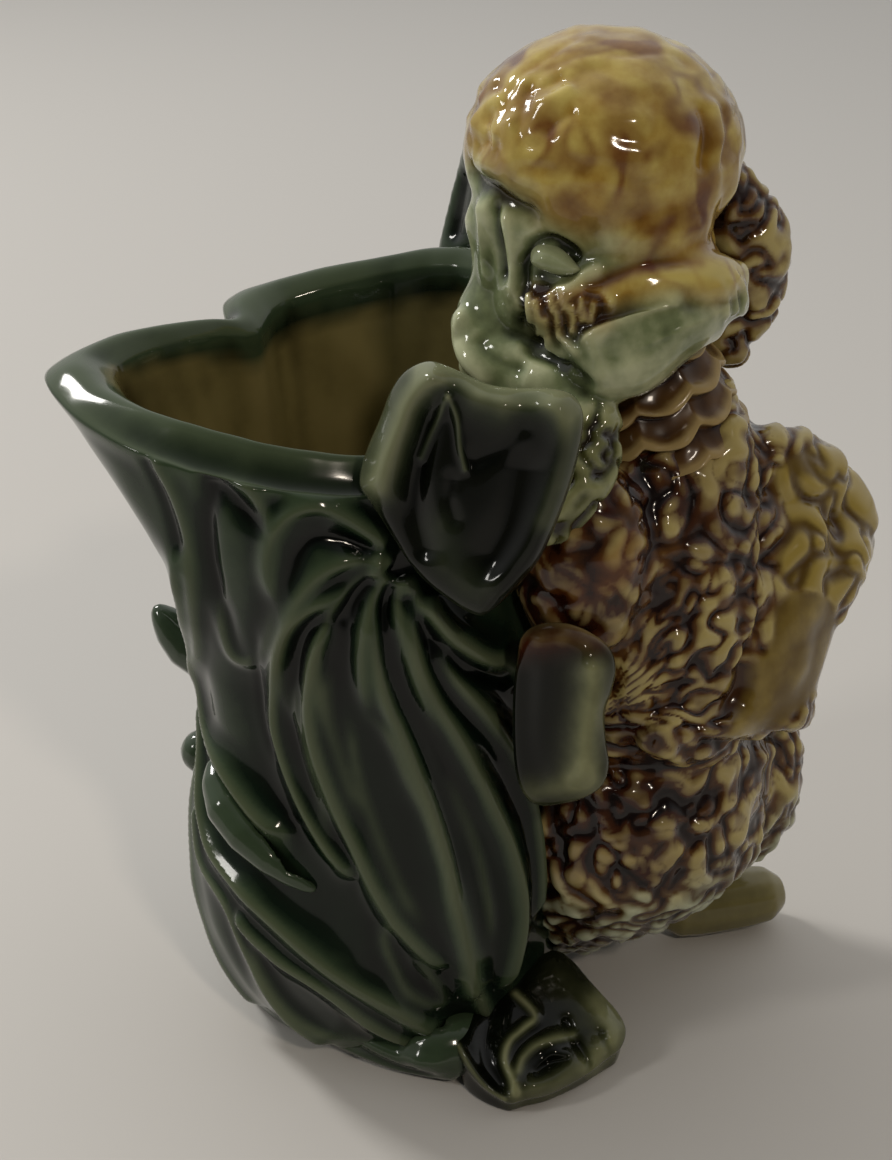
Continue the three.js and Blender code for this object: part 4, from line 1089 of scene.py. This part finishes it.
def make_collar():
    """Scalloped tiers about the neck: each flares to its edge, then steps back under it."""
    boxes = [(p.min(0), p.max(0)) for p in (cad_arrays([name])[0] for name in TIERS)]
    middle = (boxes[0][0] + boxes[0][1] + boxes[2][0] + boxes[2][1]) / 4
    lean = (boxes[2][0] + boxes[2][1] - boxes[0][0] - boxes[0][1]) / 2
    lean = lean / lean[2]
    high, low = boxes[0][1][2] + 4, boxes[2][0][2] - 2
    pitch = (high - low) / (len(TIERS) + 0.8)
    angles = np.arange(COLLAR_COLUMNS) * 2 * math.pi / COLLAR_COLUMNS
    heights = np.linspace(low, high, COLLAR_ROWS)
    rows, lips_and_painted_shade = [], []
    middle = middle + COLLAR_SHIFT
    flat, slope = middle * [1, 1, 0], lean * [1, 1, 0]
    forward = 1.0 + 0.12 * np.cos(angles + math.radians(75))
    for z in heights:
        down = (high - z) / pitch
        tier = np.floor(down)
        for _ in range(2):
            scallop = SCALLOP_DEEP * np.abs(np.cos((SCALLOPS * angles + 0.3 * tier) / 2)) ** 0.8
            tier = np.floor(down - scallop + SCALLOP_DEEP)
        run = np.clip(down - scallop + SCALLOP_DEEP - tier, 0, 1)
        lip = np.exp(-((run - 0.76) / 0.19) ** 2)
        reach = COLLAR_REACH + 0.9 * (down - 0.5) + (1.7 * run**0.8 + 0.8 * lip) * (1 - smoothstep(0.92, 1.0, run))
        # Painted shade: each tier is darker at its top, under the tier above, and paler on its lip.
        lips_and_painted_shade.append(0.22 + 0.2 * run + 0.6 * lip)
        ring = np.stack([np.cos(angles) * reach * forward, np.sin(angles) * reach * forward,
                         0.4 * np.cos(angles) * reach], axis=1)
        rows.append(flat + slope * (z - middle[2]) + ring + z * UP)
    points = np.vstack(rows + [flat + low * UP, flat + high * UP])
    quads = grid_faces(COLLAR_ROWS, COLLAR_COLUMNS)
    average = averager(points, quads)
    points = average(points, times=5, share=0.6)
    points = raised(points, quads, 0.5 * noise3(points / 4.5, 61))
    out = standing_out(points, quads, average)
    tone = 0.4 * out + 0.65 * np.concatenate([*lips_and_painted_shade, [0.5, 0.5]]) + 0.2 * noise3(points / 5, 62)
    values = {"relief": np.clip(tone, 0, 1)}
    put_in_scene("collar", points, quads, TIERS,
                 glaze("collar glaze", COLLAR_BROWN, mottle=0.5, roughness=0.27, shine=0.16), values)


# ---- light and camera

FLOOR_HALF = 3.0
FLOOR_COLOUR = (0.55, 0.528, 0.498, 1)
LIT_POINT = Vector((0, 0, 0.09))
NEAR_SKY, FAR_SKY = (0.04, 0.04, 0.04, 1), (0.74, 0.74, 0.73, 1)
NEAR_LEVEL, FAR_LEVEL = (0.1, 0.092, 0.078, 1), (0.5, 0.49, 0.47, 1)


def stood(name, data, place, way):
    """A lamp or camera at a place, looking a way."""
    holder = linked(name, data)
    holder.location = place
    holder.rotation_mode = "QUATERNION"
    holder.rotation_quaternion = way.to_track_quat("-Z", "Y")
    return holder


def light(name, place, power, size, colour):
    lamp = bpy.data.lights.new(name, "AREA")
    lamp.energy, lamp.color = power, colour
    lamp.shape = "RECTANGLE"
    lamp.size, lamp.size_y = size
    stood(name, lamp, place, LIT_POINT - Vector(place))


def stage():
    corners = [(x * FLOOR_HALF, y * FLOOR_HALF, 0) for x, y in ((-1, -1), (1, -1), (1, 1), (-1, 1))]
    mesh = bpy.data.meshes.new("floor")
    mesh.from_pydata(corners, [], [(0, 1, 2, 3)])
    floor = linked("floor", mesh)
    mesh.materials.append(new_material("floor", {"Base Color": FLOOR_COLOUR, "Roughness": 0.6})[0])
    light("window", (-0.96, 0.72, 1.12), power=11.5, size=(0.24, 0.44), colour=(1, 0.98, 0.94))
    light("room lamp", (0.3, -0.7, 0.75), power=1.9, size=(0.08, 0.08), colour=(1, 0.88, 0.74))
    light("side lamp", (-0.95, -0.38, 0.78), power=2.6, size=(0.14, 0.24), colour=(1, 0.97, 0.92))


def between(tree, value, low, high):
    return node(tree, "MapRange", {"Value": value, "From Min": low, "From Max": high},
                interpolation_type="SMOOTHSTEP").outputs["Result"]


def room():
    """A soft room: pale on the far side, most of all above, and dark on the camera's side."""
    world = bpy.data.worlds.new("room")
    bpy.context.scene.world = world
    world.use_nodes = True
    tree = world.node_tree
    way = node(tree, "SeparateXYZ", {0: node(tree, "TexCoord", {}).outputs["Generated"]}).outputs
    far_side = between(tree, way["Y"], -0.8, 0.6)
    sky = blended(tree, far_side, NEAR_SKY, FAR_SKY)
    level = blended(tree, far_side, NEAR_LEVEL, FAR_LEVEL)
    whole = blended(tree, between(tree, way["Z"], -0.02, 0.5), level, sky)
    ground = tree.nodes["Background"]
    tree.links.new(whole, ground.inputs["Color"])
    ground.inputs["Strength"].default_value = 1.0


def camera():
    lens = bpy.data.cameras.new("camera")
    lens.sensor_width = SENSOR
    lens.lens = LENS
    lens.clip_start, lens.clip_end = 0.01, 10
    bpy.context.scene.camera = stood("camera", lens, Vector(STAND) * MM, Vector(-BACK))


make_vessel()
make_petal()
leaf = glaze("leaf glaze", GREEN, mottle=0.2)
paw = glaze("paw glaze", PAW, mottle=0.4)
make_leaf_piece("tall_leaf_glazed", ["tall_leaf"], melt=36, glazed=leaf, strokes=TALL_LEAF_STROKES)
make_leaf_piece("foot_knot", ["leaf_knot"], melt=14, glazed=leaf, lumps=roll_of_clay(KNOT_ROLL),
                strokes=KNOT_STROKES)
make_leaf_piece("thorn", ["upper_thorn"], melt=8, glazed=leaf)
make_leaf_piece("bud", ["lower_bud"], melt=8, glazed=leaf)
make_leaf_piece("sprig", ["curled_sprig"], melt=10, glazed=leaf,
                lumps=[((-46, -26.5, 55), (5, 3.4, 4.6), -134)])
make_limb_end("near_foot_glazed", ["near_foot", "near_toe_1", "near_toe_2", "near_toe_3"], {"paler": FOOT_PALE_AND_HIGHLIGHT},
              outline=FOOT_OUTLINE, centre=(540, 1035), middle=(14, -46, 4), facing=(0.18, -0.42, 0.89),
              thick=3.4, edge=24, deep=6, strokes=FOOT_STROKES, grounded=True)
make_limb_end("near_paw_glazed", ["near_paw"], {"paler": PAW_LIGHTER, "cuff": PAW_CUFF},
              outline=PAW_OUTLINE, centre=(562, 715), middle=(20, -39.5, 85), facing=(-0.2, -0.97, 0.1),
              thick=3.8, edge=36, deep=9, strokes=PAW_STROKES)
make_leaf_piece("far_foot_glazed", ["far_foot"], melt=10, glazed=paw)
make_body()
make_head()
make_collar()

stage()
room()
camera()
bpy.context.scene.view_settings.view_transform = "Standard"
